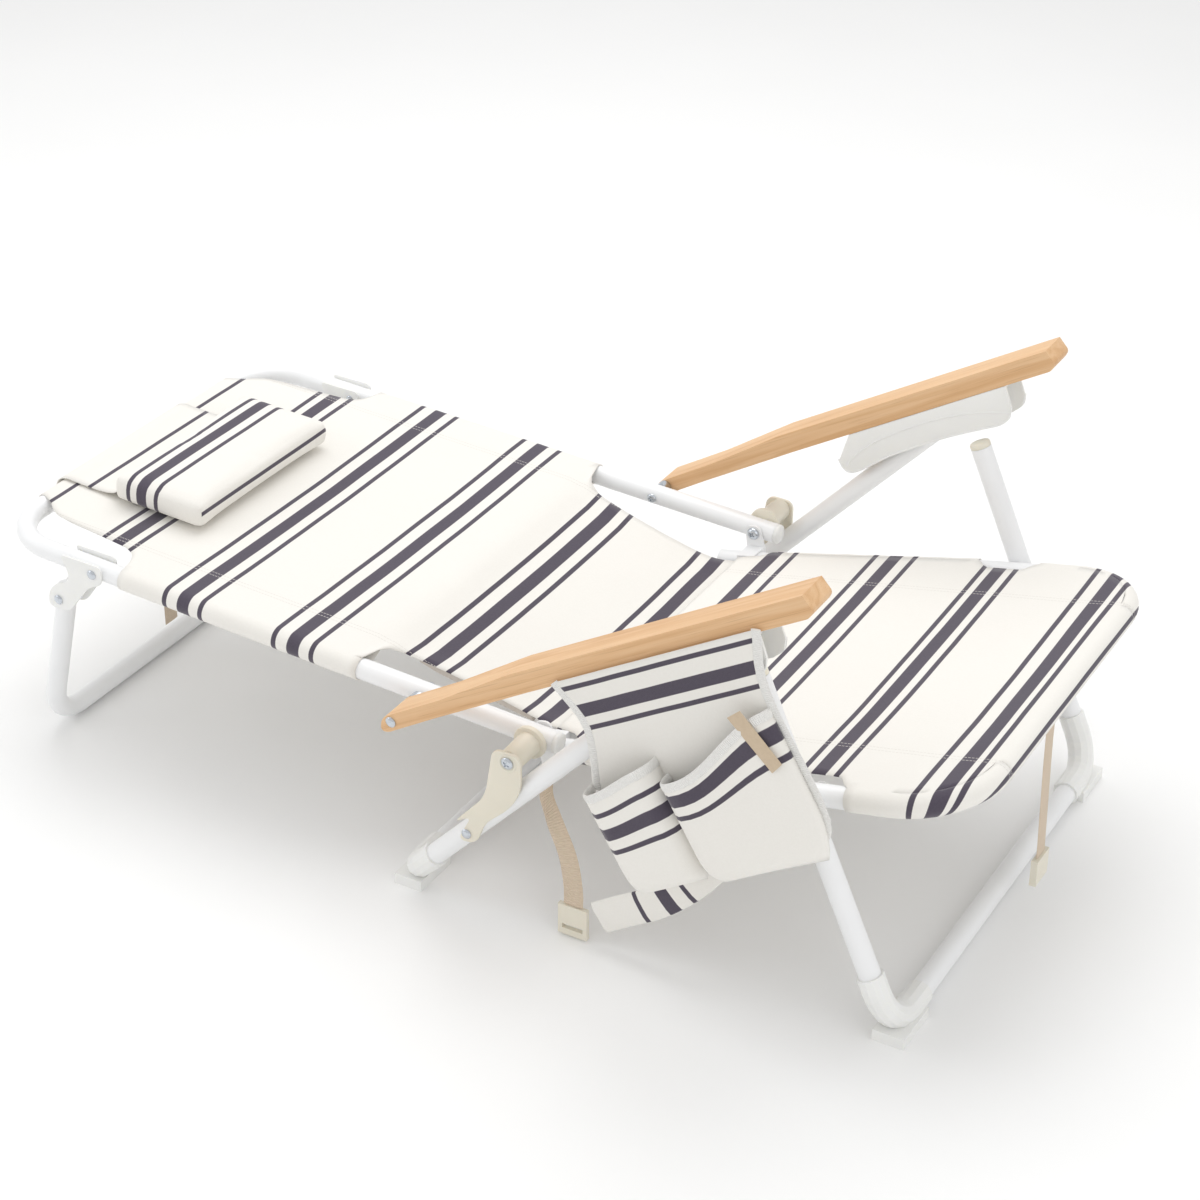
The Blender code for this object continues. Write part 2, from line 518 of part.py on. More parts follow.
# ---- seat sling: sleeves on both sides of each leg notch and round the front bar -------
seat_outline = mirrored(
    [(SEAT_REAR + 0.001, 0.190), (SEAT_REAR + 0.010, 0.218), (-0.352, 0.2245),
     (-0.322, 0.2245), (FLARE_START + 0.005, SEAT_REAR_Y + 0.002), (-0.040, 0.2645),
     (-0.022, SEAT_Y), (-0.018, 0.243), (0.022, 0.243), (0.026, SEAT_Y), (0.080, SEAT_Y),
     (0.130, 0.255), (0.158, 0.225), (0.1685, 0.180)])
sides_of_seat = [((a, s * ya, 0), (b, s * yb, 0)) for s in (1, -1)
                 for a, ya, b, yb in ((FLARE_START + 0.006, SEAT_REAR_Y + 0.0005, -0.0235, SEAT_Y),
                                      (0.026, SEAT_Y, 0.075, SEAT_Y))]
front_bar = [((SEAT_FRONT, -0.178, 0), (SEAT_FRONT, 0.178, 0))]
seat_sling = pocketed_sling("seat_sling", SEAT, seat_outline, sides_of_seat + front_bar,
                            [seat_tube])

# ---- storage pouch under the lower back --------------------------------------------------
pouch = prism([(-0.2000, -0.0062), (-0.1507, -0.0146), (-0.0560, -0.0315), (-0.0500, -0.0330),
               (-0.0460, -0.0400), (-0.1773, -0.0225), (-0.2000, -0.0170)], -0.200, 0.200)
add("back_pouch", pouch, CLOTH_MAT, BACK, smooth=False)

# ---- pillow on the back, its flap over the top bar ---------------------------------------
pillow = block(-0.680, -0.540, -0.165, 0.121, TOP + GAP, TOP + 0.040)
pillow_obj = add("pillow", pillow, CLOTH_MAT, BACK, smooth=False)
soft = pillow_obj.modifiers.new("edge", "BEVEL")
soft.width = 0.008
soft.segments = 2
bar_front = -HOOP_LENGTH - 0.0149
outer = rounded_path([(-0.682, 0, TOP + 0.003), (bar_front - 0.0027, 0, TOP + 0.003),
                      (bar_front - 0.0027, 0, -0.034)], [0.0120], 3)
inner = rounded_path([(bar_front, 0, -0.034), (bar_front, 0, TOP + GAP),
                      (-0.682, 0, TOP + GAP)], [0.0093], 3)
outer, inner = [[(p.x, p.z) for p in path] for path in (outer, inner)]
add("pillow_flap", prism(outer + inner, -0.150, 0.094), CLOTH_MAT, BACK, smooth=False)

# ---- side organiser hanging from the right arm --------------------------------------------
panel_y = -(ARM_OUT + 0.0032)
panel = prism([(0.245, -0.002), (0.515, -0.002), (0.490, -0.070), (0.490, -0.215),
               (0.450, -0.245), (0.240, -0.245), (0.226, -0.130), (0.262, -0.060)],
              panel_y, panel_y - 0.002)
add("organiser_panel", panel, CLOTH_MAT, ARM, smooth=False)
for name, s0, s1, top, bottom in (("pocket_rear", 0.227, 0.325, -0.125, -0.255),
                                  ("pocket_front", 0.329, 0.487, -0.132, -0.260)):
    y_in, y_out = panel_y - 0.0023, panel_y - 0.0350
    shell = prism(rounded_outline([(s0, top), (s1, top), (s1, bottom), (s0, bottom)],
                                  [0, 0, 0.020, 0.020], 3), y_in, y_out)
    cup = add(name, shell, CLOTH_MAT, ARM, smooth=False)
    hollow = prism(rounded_outline([(s0 + 0.002, top + 0.01), (s1 - 0.002, top + 0.01),
                                    (s1 - 0.002, bottom + 0.002), (s0 + 0.002, bottom + 0.002)],
                                   [0, 0, 0.018, 0.018], 3), y_in - 0.0018, y_out + 0.0018)
    boolean(cup, hollow, "DIFFERENCE", ARM)


# ---- straps -----------------------------------------------------------------------------
def ribbon(points, width, thick):
    """Closed strip along a path of (x, y, z, tilt): flat across the given tilt direction."""
    bm = bmesh.new()
    rings = []
    count = len(points)
    for i, spot in enumerate(points):
        here = Vector(spot)
        before = Vector(points[max(i - 1, 0)])
        after = Vector(points[min(i + 1, count - 1)])
        along = (after - before).normalized()
        flat = along.cross(Vector((0, 1, 0))).normalized()
        normal = flat.cross(along).normalized()
        ring = []
        for a, b in ((-1, -1), (1, -1), (1, 1), (-1, 1)):
            ring.append(bm.verts.new(here + flat * (a * width / 2) + normal * (b * thick / 2)))
        rings.append(ring)
    for lower, upper in zip(rings, rings[1:]):
        for k in range(4):
            bm.faces.new((lower[k], lower[(k + 1) % 4], upper[(k + 1) % 4], upper[k]))
    bm.faces.new(reversed(rings[0]))
    bm.faces.new(rings[-1])
    return bm


def smooth_line(points, steps=4):
    """Catmull-Rom curve through the points."""
    ends = [2 * points[0] - points[1], *points, 2 * points[-1] - points[-2]]
    line = []
    for a, b, c, d in zip(ends, ends[1:], ends[2:], ends[3:]):
        for k in range(steps):
            t = k / steps
            line.append(0.5 * (2 * b + (c - a) * t + (2 * a - 5 * b + 4 * c - d) * t * t
                               + (3 * b - a - 3 * c + d) * t ** 3))
    line.append(points[-1])
    return line


for tag, sign in SIDES:
    route = [(0.2400, 0.2640, 0.1700), (0.2480, 0.2800, 0.1620), (0.2680, 0.2960, 0.1440),
             (0.2880, 0.3020, 0.1080), (0.2960, 0.3040, 0.0700), (0.2965, 0.3040, 0.0440)]
    route = [Vector((x, sign * y, z)) for x, y, z in route]
    add("strap_webbing_" + tag, ribbon(smooth_line(route), 0.025, 0.0018), STRAP_MAT, WORLD)
    buckle = block(-0.0185, 0.0185, -0.003, 0.003, -0.020, 0.020)
    slot = block(-0.0135, 0.0135, -0.004, 0.004, -0.012, -0.006)
    bmesh.ops.translate(buckle, vec=(0.2965, sign * 0.304, 0.0232), verts=buckle.verts)
    bmesh.ops.translate(slot, vec=(0.2965, sign * 0.304, 0.0232), verts=slot.verts)
    ring = add("strap_buckle_" + tag, buckle, PLASTIC, WORLD, smooth=False)
    boolean(ring, slot, "DIFFERENCE", WORLD)
    route = [(0.3300, 0.3030, 0.0400), (0.3600, 0.3020, 0.0600), (0.4000, 0.3000, 0.0860),
             (0.4400, 0.2960, 0.1240), (0.4720, 0.2860, 0.1660), (0.4900, 0.2740, 0.1930)]
    route = [Vector((x, sign * y, z)) for x, y, z in route]
    add("strap_pad_" + tag, ribbon(smooth_line(route), 0.040, 0.007), STRAP_MAT, WORLD)

# closure strap under the front of the seat, and its mate under the head end
drop = [Vector((x, 0.0, z)) for x, z in
        ((0.7235, 0.2740), (0.7240, 0.2200), (0.7260, 0.1500), (0.7280, 0.0820))]
add("closure_webbing", ribbon(smooth_line(drop), 0.0018, 0.025), STRAP_MAT, WORLD)
add("closure_buckle", block(0.7240, 0.7320, -0.0175, 0.0175, 0.0480, 0.0815),
    PLASTIC, WORLD, smooth=False)
drop = [local(BACK, spot) for spot in
        ((-0.4600, 0.2660), (-0.4610, 0.2000), (-0.4640, 0.1200), (-0.4650, 0.0480))]
drop = [Vector((x, -0.045, z)) for x, z in drop]
add("head_tab_webbing", ribbon(smooth_line(drop), 0.0018, 0.025), STRAP_MAT, BACK)
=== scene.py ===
import json
import math

import bmesh
import bpy
from mathutils import Matrix, Vector, noise
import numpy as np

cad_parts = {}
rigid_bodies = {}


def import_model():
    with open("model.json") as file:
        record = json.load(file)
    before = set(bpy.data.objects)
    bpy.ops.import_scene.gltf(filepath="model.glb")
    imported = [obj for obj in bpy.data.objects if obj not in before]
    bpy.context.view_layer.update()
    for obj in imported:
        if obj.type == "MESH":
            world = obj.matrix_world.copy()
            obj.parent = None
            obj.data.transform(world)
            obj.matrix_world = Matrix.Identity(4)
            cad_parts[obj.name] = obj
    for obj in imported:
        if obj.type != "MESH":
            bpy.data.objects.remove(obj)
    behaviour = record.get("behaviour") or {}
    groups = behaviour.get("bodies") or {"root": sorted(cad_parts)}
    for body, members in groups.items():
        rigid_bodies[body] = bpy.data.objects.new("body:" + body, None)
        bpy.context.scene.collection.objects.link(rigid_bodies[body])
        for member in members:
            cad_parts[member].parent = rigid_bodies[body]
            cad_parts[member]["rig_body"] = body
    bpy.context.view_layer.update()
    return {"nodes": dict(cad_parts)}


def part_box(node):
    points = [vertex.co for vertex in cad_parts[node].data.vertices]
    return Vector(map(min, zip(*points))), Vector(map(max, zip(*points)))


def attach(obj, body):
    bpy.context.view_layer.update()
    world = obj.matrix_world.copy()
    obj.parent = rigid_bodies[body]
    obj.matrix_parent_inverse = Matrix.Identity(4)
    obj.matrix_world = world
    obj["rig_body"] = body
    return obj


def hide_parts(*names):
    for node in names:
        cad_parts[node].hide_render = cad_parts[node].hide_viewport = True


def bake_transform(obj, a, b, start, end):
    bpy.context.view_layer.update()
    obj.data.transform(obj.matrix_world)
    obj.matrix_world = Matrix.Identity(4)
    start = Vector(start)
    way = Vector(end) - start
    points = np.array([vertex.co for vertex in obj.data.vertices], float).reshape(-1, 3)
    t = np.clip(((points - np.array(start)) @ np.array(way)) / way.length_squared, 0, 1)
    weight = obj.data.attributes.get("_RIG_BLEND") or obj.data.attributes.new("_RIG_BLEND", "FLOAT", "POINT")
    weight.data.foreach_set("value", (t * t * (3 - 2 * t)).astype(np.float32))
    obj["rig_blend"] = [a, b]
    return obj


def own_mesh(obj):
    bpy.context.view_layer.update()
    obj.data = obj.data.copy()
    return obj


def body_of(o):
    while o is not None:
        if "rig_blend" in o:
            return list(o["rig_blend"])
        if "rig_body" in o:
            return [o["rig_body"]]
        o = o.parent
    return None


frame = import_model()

# ---- studio -------------------------------------------------------------------------
# A pale floor under soft overhead light. The view is from the sitter's right, in front
# of the chair and above it.
camera_data = bpy.data.cameras.new("camera")
camera_data.lens = 79.45
camera_data.sensor_width = 36.0
camera = bpy.data.objects.new("camera", camera_data)
ahead = Vector((-0.4245, 0.7466, -0.5123)).normalized()
right = Vector((0.8693, 0.4943, 0.0)).normalized()
up = right.cross(ahead).normalized()
roll = Matrix.Rotation(-0.0056, 3, ahead)
right, up = roll @ right, roll @ up
camera.matrix_world = Matrix.Translation((1.38869, -2.32924, 1.85306)) @ Matrix(
    (right, up, -ahead)).transposed().to_4x4()
bpy.context.scene.collection.objects.link(camera)
bpy.context.scene.camera = camera

for name, place, aim, size, power in (
        ("overhead", (-0.5, 0.9, 3.0), (0.0, 0.0, 0.2), 2.6, 44.0),
        ("left_fill", (-2.8, -1.6, 1.6), (0.0, 0.0, 0.2), 2.2, 16.0),
        ("right_fill", (2.6, -1.2, 1.5), (0.2, 0.0, 0.2), 2.2, 12.0)):
    lamp_data = bpy.data.lights.new(name, "AREA")
    lamp_data.shape = "SQUARE"
    lamp_data.size = size
    lamp_data.energy = power
    lamp = bpy.data.objects.new(name, lamp_data)
    lamp.location = place
    lamp.rotation_euler = (Vector(aim) - Vector(place)).to_track_quat("-Z", "Y").to_euler()
    bpy.context.scene.collection.objects.link(lamp)

room = bpy.data.worlds.new("room")
room.use_nodes = True
room.node_tree.nodes["Background"].inputs["Color"].default_value = (1.0, 1.0, 1.0, 1.0)
room.node_tree.nodes["Background"].inputs["Strength"].default_value = 0.76
bpy.context.scene.world = room
bpy.context.scene.view_settings.view_transform = "Standard"


def grained(name, colour, roughness, metal=0.0, spread=0.05, cloud=9.0, grain=900.0,
            bump=0.04, **sockets):
    """Surface with slightly uneven colour and gloss and a fine grain in its bump."""
    mat = bpy.data.materials.new(name)
    mat.use_nodes = True
    tree = mat.node_tree
    shader = tree.nodes["Principled BSDF"]
    shader.inputs["Metallic"].default_value = metal
    for socket, value in sockets.items():
        shader.inputs[socket.replace("_", " ")].default_value = value
    coords = tree.nodes.new("ShaderNodeTexCoord")
    patch = tree.nodes.new("ShaderNodeTexNoise")
    patch.inputs["Scale"].default_value = cloud
    patch.inputs["Detail"].default_value = 5.0
    tree.links.new(coords.outputs["Object"], patch.inputs["Vector"])
    tint = tree.nodes.new("ShaderNodeValToRGB")
    tint.color_ramp.elements[0].position = 0.3
    tint.color_ramp.elements[1].position = 0.7
    tint.color_ramp.elements[0].color = (*(c * (1.0 - spread) for c in colour), 1.0)
    tint.color_ramp.elements[1].color = (*(min(c * (1.0 + spread * 0.6), 1.0) for c in colour), 1.0)
    tree.links.new(patch.outputs["Fac"], tint.inputs["Fac"])
    tree.links.new(tint.outputs["Color"], shader.inputs["Base Color"])
    gloss = tree.nodes.new("ShaderNodeMapRange")
    gloss.inputs["To Min"].default_value = roughness - 0.05
    gloss.inputs["To Max"].default_value = roughness + 0.05
    tree.links.new(patch.outputs["Fac"], gloss.inputs["Value"])
    tree.links.new(gloss.outputs["Result"], shader.inputs["Roughness"])
    fine = tree.nodes.new("ShaderNodeTexNoise")
    fine.inputs["Scale"].default_value = grain
    fine.inputs["Detail"].default_value = 3.0
    tree.links.new(coords.outputs["Object"], fine.inputs["Vector"])
    relief = tree.nodes.new("ShaderNodeBump")
    relief.inputs["Strength"].default_value = bump
    relief.inputs["Distance"].default_value = 0.001
    tree.links.new(fine.outputs["Fac"], relief.inputs["Height"])
    tree.links.new(relief.outputs["Normal"], shader.inputs["Normal"])
    return mat


floor_mesh = bmesh.new()
bmesh.ops.create_grid(floor_mesh, x_segments=2, y_segments=2, size=9.0)
floor_data = bpy.data.meshes.new("floor")
floor_mesh.to_mesh(floor_data)
floor_mesh.free()
floor = bpy.data.objects.new("floor", floor_data)
floor_data.materials.append(grained("floor_paint", (0.93, 0.93, 0.925), 0.7, spread=0.01,
                                    cloud=2.0, grain=60.0, bump=0.01))
bpy.context.scene.collection.objects.link(floor)

# ---- tubes --------------------------------------------------------------------------
# Five U shapes of 25 mm tube: back, seat, front leg, rear leg and head leg. Each is bent
# cold from one length and powder coated white, and its open ends are closed with caps.
powder_coat = grained("powder_coat_white", (0.87, 0.875, 0.88), 0.34, spread=0.015, cloud=14.0,
                      grain=1400.0, bump=0.05, Coat_Weight=0.15, Coat_Roughness=0.2)


def axes_at(x, z, slope):
    """Axes of one part of the chair: origin in the side view, turned about the width."""
    return (Matrix.Translation((x - 0.10125, 0.01755, z))
            @ Matrix.Rotation(math.radians(slope), 4, "Y"))


BACK = axes_at(0.2310, 0.2313, 3.15)
SEAT = axes_at(0.5688, 0.2680, -11.7)
ARM = axes_at(0.0840, 0.2394, -30.5)
FRONT_LEG = axes_at(0.5688, 0.2680, -23.96)
REAR_LEG = axes_at(0.4760, 0.4430, 42.7)
HEAD_LEG = axes_at(-0.4330, 0.2140, 13.5)
HIP = axes_at(0.2310, 0.2313, 0.0)
GROUND = axes_at(0.0, 0.0, 0.0)


def piece(name, bm, mat, body, smooth=40.0):
    """Turn a finished bmesh into an object that moves with a body of the frame."""
    data = bpy.data.meshes.new(name)
    bm.to_mesh(data)
    bm.free()
    data.shade_smooth()
    data.set_sharp_from_angle(angle=math.radians(smooth))
    obj = bpy.data.objects.new(name, data)
    data.materials.append(mat)
    bpy.context.scene.collection.objects.link(obj)
    if body:
        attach(obj, body)
    return obj


def bent_tube(axes, start, heading, moves, radius=0.0125, segments=32):
    """Feed a round tube through a bender: a number is a straight run, and
    (radius, degrees, axis) is a bend."""
    bm = bmesh.new()
    spot = axes @ Vector(start)
    heading = (axes.to_3x3() @ Vector(heading)).normalized()
    facing = heading.to_track_quat("Z", "Y").to_matrix().to_4x4()
    bmesh.ops.create_circle(bm, segments=segments, radius=radius,
                            matrix=Matrix.Translation(spot) @ facing)
    ring = list(bm.edges)
    for move in moves:
        if isinstance(move, float):
            made = bmesh.ops.extrude_edge_only(bm, edges=ring)["geom"]
            fresh = {v for v in made if isinstance(v, bmesh.types.BMVert)}
            bmesh.ops.translate(bm, vec=heading * move, verts=list(fresh))
            spot = spot + heading * move
        else:
            bend, degrees, axis = move
            axis = (axes.to_3x3() @ Vector(axis)).normalized()
            centre = spot + axis.cross(heading) * bend
            verts = {v for edge in ring for v in edge.verts}
            made = bmesh.ops.spin(bm, geom=[*verts, *ring], cent=centre, axis=axis,
                                  angle=math.radians(degrees),
                                  steps=max(3, int(degrees / 6)))["geom_last"]
            fresh = {v for v in made if isinstance(v, bmesh.types.BMVert)}
            turn = Matrix.Rotation(math.radians(degrees), 3, axis)
            spot = centre + turn @ (spot - centre)
            heading = turn @ heading
        ring = [edge for edge in {e for v in fresh for e in v.link_edges}
                if edge.verts[0] in fresh and edge.verts[1] in fresh]
    bmesh.ops.holes_fill(bm, edges=bm.edges, sides=0)
    bmesh.ops.recalc_face_normals(bm, faces=bm.faces)
    return bm


hoop = bent_tube(BACK, (0.024, -0.270, 0), (-1, 0, 0),
                 [0.712, (0.070, 90, (0, 0, -1)), 0.400, (0.070, 90, (0, 0, -1)), 0.712])
hoop = piece("back_hoop", hoop, powder_coat, "back")
seat_u = bent_tube(SEAT, (-0.382, -0.2408, 0), (1, 0, 0),
                   [0.0747, (0.05, 5.235, (0, 0, -1)), 0.2716, (0.05, 5.235, (0, 0, 1)), 0.1107,
                    (0.085, 90, (0, 0, 1)), 0.362, (0.085, 90, (0, 0, 1)), 0.1107,
                    (0.05, 5.235, (0, 0, 1)), 0.2716, (0.05, 5.235, (0, 0, -1)), 0.0747])
seat_u = piece("seat_u", seat_u, powder_coat, "seat")
front_u = bent_tube(FRONT_LEG, (0, -0.2915, 0.154), (0, 0, -1),
                    [0.384, (0.045, 90, (1, 0, 0)), 0.493, (0.045, 90, (1, 0, 0)), 0.384])
front_u = piece("front_leg_u", front_u, powder_coat, "front_leg")
rear_u = bent_tube(REAR_LEG, (0, -0.317, 0.005), (0, 0, -1),
                   [0.5402, (0.045, 90, (1, 0, 0)), 0.544, (0.045, 90, (1, 0, 0)), 0.5402])
rear_u = piece("rear_leg_u", rear_u, powder_coat, "rear_leg")
head_u = bent_tube(HEAD_LEG, (0, -0.270, 0.0125), (0, 0, -1),
                   [0.1635, (0.055, 90, (1, 0, 0)), 0.430, (0.055, 90, (1, 0, 0)), 0.1635])
head_u = piece("head_leg_u", head_u, powder_coat, "head_leg")
for obj, node in ((hoop, "back_frame"), (seat_u, "seat_frame"), (front_u, "front_leg_frame"),
                  (rear_u, "rear_leg_frame"), (head_u, "head_leg_frame")):
    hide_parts(node)
for tag in ("l", "r"):
    for slot in frame["nodes"]["seat_bracket_" + tag].material_slots:
        slot.material = powder_coat

# ---- bolts, rivets and caps ---------------------------------------------------------
# Zinc bolts with crossed recesses, domed rivets and white plastic caps. All are turned
# parts that lie across the chair.
zinc = grained("bright_zinc", (0.60, 0.635, 0.68), 0.24, metal=1.0, spread=0.10, cloud=300.0,
               grain=2500.0, bump=0.05)
white_plastic = grained("white_plastic", (0.85, 0.85, 0.83), 0.38, spread=0.02, cloud=20.0,
                        grain=1600.0, bump=0.05, Subsurface_Weight=0.12,
                        Subsurface_Radius=(0.004, 0.004, 0.003), Subsurface_Scale=0.6)
ivory_plastic = grained("ivory_plastic", (0.78, 0.735, 0.62), 0.36, spread=0.03, cloud=24.0,
                        grain=1600.0, bump=0.05, Subsurface_Weight=0.12,
                        Subsurface_Radius=(0.004, 0.003, 0.002), Subsurface_Scale=0.6)


def turned(axes, spot, profile, segments=36):
    """Spin a profile of (distance across the chair, radius) about a pin at (x, z)."""
    bm = bmesh.new()
    verts = [bmesh.ops.create_vert(bm, co=(spot[0] + r, y, spot[1]))["vert"][0]
             for y, r in profile]
    edges = [bm.edges.new(ends) for ends in zip(verts, verts[1:])]
    bmesh.ops.spin(bm, geom=verts + edges, cent=(spot[0], 0, spot[1]), axis=(0, 1, 0),
                   angle=math.tau, steps=segments, use_merge=True)
    bmesh.ops.remove_doubles(bm, verts=bm.verts, dist=1e-6)
    bmesh.ops.recalc_face_normals(bm, faces=bm.faces)
    bmesh.ops.transform(bm, matrix=axes, verts=bm.verts)
    return bm


def cut(obj, cutter_mesh):
    """Cut one bmesh out of an object for good."""
    cutter_data = bpy.data.meshes.new("cutter")
    cutter_mesh.to_mesh(cutter_data)
    cutter_mesh.free()
    cutter = bpy.data.objects.new("cutter", cutter_data)
    bpy.context.scene.collection.objects.link(cutter)
    step = obj.modifiers.new("cut", "BOOLEAN")
    step.operation = "DIFFERENCE"
    step.solver = "EXACT"
    step.object = cutter
    graph = bpy.context.evaluated_depsgraph_get()
    result = bpy.data.meshes.new_from_object(obj.evaluated_get(graph))
    obj.modifiers.remove(step)
    old = obj.data
    obj.data = result
    obj.data.set_sharp_from_angle(angle=math.radians(35))
    bpy.data.meshes.remove(old)
    bpy.data.objects.remove(cutter)
    bpy.data.meshes.remove(cutter_data)


CHEEK_BOLT_X = -0.6085


def head_pivot(side):
    """Side-view spot of the head leg's pivot, in the back's own axes."""
    low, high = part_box("head_pivot_bolt_" + side)
    centre = BACK.inverted() @ ((Vector(low) + Vector(high)) / 2)
    return centre.x, centre.z


def crossed_recess(obj, axes, spot, y0, y1, span=0.0036):
    """Sink a screwdriver's cross into a bolt head."""
    cross = bmesh.new()
    thin = 0.0009
    plus = [(span, thin), (thin, thin), (thin, span), (-thin, span), (-thin, thin), (-span, thin),
            (-span, -thin), (-thin, -thin), (-thin, -span), (thin, -span), (thin, -thin),
            (span, -thin)]
    half = abs(y1 - y0) / 2
    verts = [bmesh.ops.create_vert(cross, co=(x, -half, z))["vert"][0] for x, z in plus]
    face = bmesh.ops.contextual_create(cross, geom=verts)["faces"][0]
    grown = bmesh.ops.extrude_face_region(cross, geom=[face])["geom"]
    bmesh.ops.translate(cross, vec=(0, 2 * half, 0), verts=[
        v for v in grown if isinstance(v, bmesh.types.BMVert)])
    bmesh.ops.recalc_face_normals(cross, faces=cross.faces)
    bmesh.ops.rotate(cross, cent=(0, 0, 0), matrix=Matrix.Rotation(0.5, 3, "Y"),
                     verts=cross.verts)
    bmesh.ops.translate(cross, vec=(spot[0], (y0 + y1) / 2, spot[1]), verts=cross.verts)
    bmesh.ops.transform(cross, matrix=axes, verts=cross.verts)
    cut(obj, cross)


for tag, s in (("l", 1), ("r", -1)):
    hip_bolt = turned(HIP, (0, 0), [(s * 0.2490, 0), (s * 0.2493, 0.0045), (s * 0.2505, 0.0066),
                      (s * 0.2526, 0.0078), (s * 0.2537, 0.0078), (s * 0.2537, 0.003),
                      (s * 0.3341, 0.003), (s * 0.3341, 0.0074), (s * 0.3349, 0.0073),
                      (s * 0.3360, 0.0060), (s * 0.3368, 0.0035), (s * 0.3370, 0)])
    hip_bolt = piece("hip_screw_" + tag, hip_bolt, zinc, "back")
    crossed_recess(hip_bolt, HIP, (0, 0), s * 0.3352, s * 0.3380, 0.0040)
    crossed_recess(hip_bolt, HIP, (0, 0), s * 0.2480, s * 0.2508, 0.0034)
    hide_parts("hip_bolt_" + tag)

    link_rivet = turned(HIP, (-0.055, -0.1135), [(s * 0.3299, 0), (s * 0.3299, 0.003),
                        (s * 0.3341, 0.003), (s * 0.3341, 0.0062), (s * 0.3347, 0.0062),
                        (s * 0.3357, 0.0052), (s * 0.3365, 0.0030), (s * 0.3367, 0)])
    link_rivet = piece("plate_rivet_" + tag, link_rivet, zinc, "link_" + tag)
    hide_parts("link_rivet_" + tag)

    out = 0.3398
    arm_rivet = turned(ARM, (0, 0), [(s * 0.2545, 0), (s * 0.2548, 0.0040), (s * 0.2556, 0.0056),
                       (s * 0.2566, 0.0062), (s * 0.2571, 0.0062), (s * 0.2571, 0.003),
                       (s * 0.2829, 0.003), (s * 0.2829, 0.0085), (s * 0.2941, 0.0085),
                       (s * 0.2941, 0.003), (s * out, 0.003), (s * out, 0.0066),
                       (s * (out + 0.0008), 0.0064), (s * (out + 0.0018), 0.0050),
                       (s * (out + 0.0026), 0.0028), (s * (out + 0.0028), 0)])
    arm_rivet = piece("arm_pivot_rivet_" + tag, arm_rivet, zinc, "arm_" + tag)
    crossed_recess(arm_rivet, ARM, (0, 0), s * 0.2536, s * 0.2560, 0.0030)
    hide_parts("arm_rivet_" + tag)

    for name, spot, node in (("cheek_bolt_", (CHEEK_BOLT_X, 0.0), "bracket_bolt_"),
                             ("head_leg_bolt_", head_pivot(tag), "head_pivot_bolt_")):
        bolt = turned(BACK, spot, [(s * 0.2520, 0), (s * 0.2523, 0.0030), (s * 0.2532, 0.0050),
                      (s * 0.2539, 0.0055), (s * 0.2539, 0.003), (s * 0.2861, 0.003),
                      (s * 0.2861, 0.0062), (s * 0.2868, 0.0061), (s * 0.2878, 0.0048),
                      (s * 0.2885, 0.0026), (s * 0.2887, 0)])
        bolt = piece(name + tag, bolt, zinc, "back")
        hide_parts(node + tag)

    apex_pin = turned(REAR_LEG, (0, 0), [(s * 0.2978, 0), (s * 0.2978, 0.003), (s * 0.3301, 0.003),
                      (s * 0.3301, 0.0065), (s * 0.3350, 0.0065), (s * 0.3356, 0.0058),
                      (s * 0.3358, 0.0045), (s * 0.3358, 0)])
    apex_pin = piece("rack_pin_" + tag, apex_pin, zinc, "rear_leg")
    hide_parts("apex_pin_" + tag)

    dome = turned(SEAT, (0, 0), [(s * 0.2475, 0), (s * 0.2478, 0.0035), (s * 0.2488, 0.0062),
                  (s * 0.2508, 0.0082), (s * 0.2531, 0.0090), (s * 0.2531, 0.003),
                  (s * 0.3012, 0.003), (s * 0.3012, 0.0058), (s * 0.3030, 0.0058),
                  (s * 0.3040, 0.0045), (s * 0.3042, 0)])
    dome = piece("seat_pivot_cap_" + tag, dome, white_plastic, "seat")
    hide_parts("seat_pivot_bolt_" + tag)

    hub = turned(HIP, (0, 0), [(s * 0.2828, 0), (s * 0.2828, 0.0188), (s * 0.2836, 0.0198),
                 (s * 0.2868, 0.0200), (s * 0.2890, 0.0192), (s * 0.2898, 0.0178),
                 (s * 0.2904, 0.0150), (s * 0.2925, 0.0143), (s * 0.3285, 0.0136),
                 (s * 0.3295, 0.0130), (s * 0.3295, 0)])
    hub = piece("hip_spacer_" + tag, hub, ivory_plastic, "back")
    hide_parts("hip_hub_" + tag)

    cap = turned(Matrix.Rotation(math.radians(-90), 4, "Z"), (0, 0),
                 [(0, 0), (0, 0.0125), (0.0032, 0.0125), (0.0050, 0.0117), (0.0062, 0.0095),
                  (0.0065, 0)])
    bmesh.ops.transform(cap, matrix=BACK @ Matrix.Translation((0.0243, s * 0.270, 0)),
                        verts=cap.verts)
    cap = piece("rail_end_cap_" + tag, cap, white_plastic, "back")
    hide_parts("rail_cap_" + tag)

# ---- link plates and head-leg brackets ----------------------------------------------
# Flat moulded plates with rounded edges. The dog-leg plates join the hip bolts to the
# rear leg; a pair of L-shaped cheeks at each rail carries the head leg.


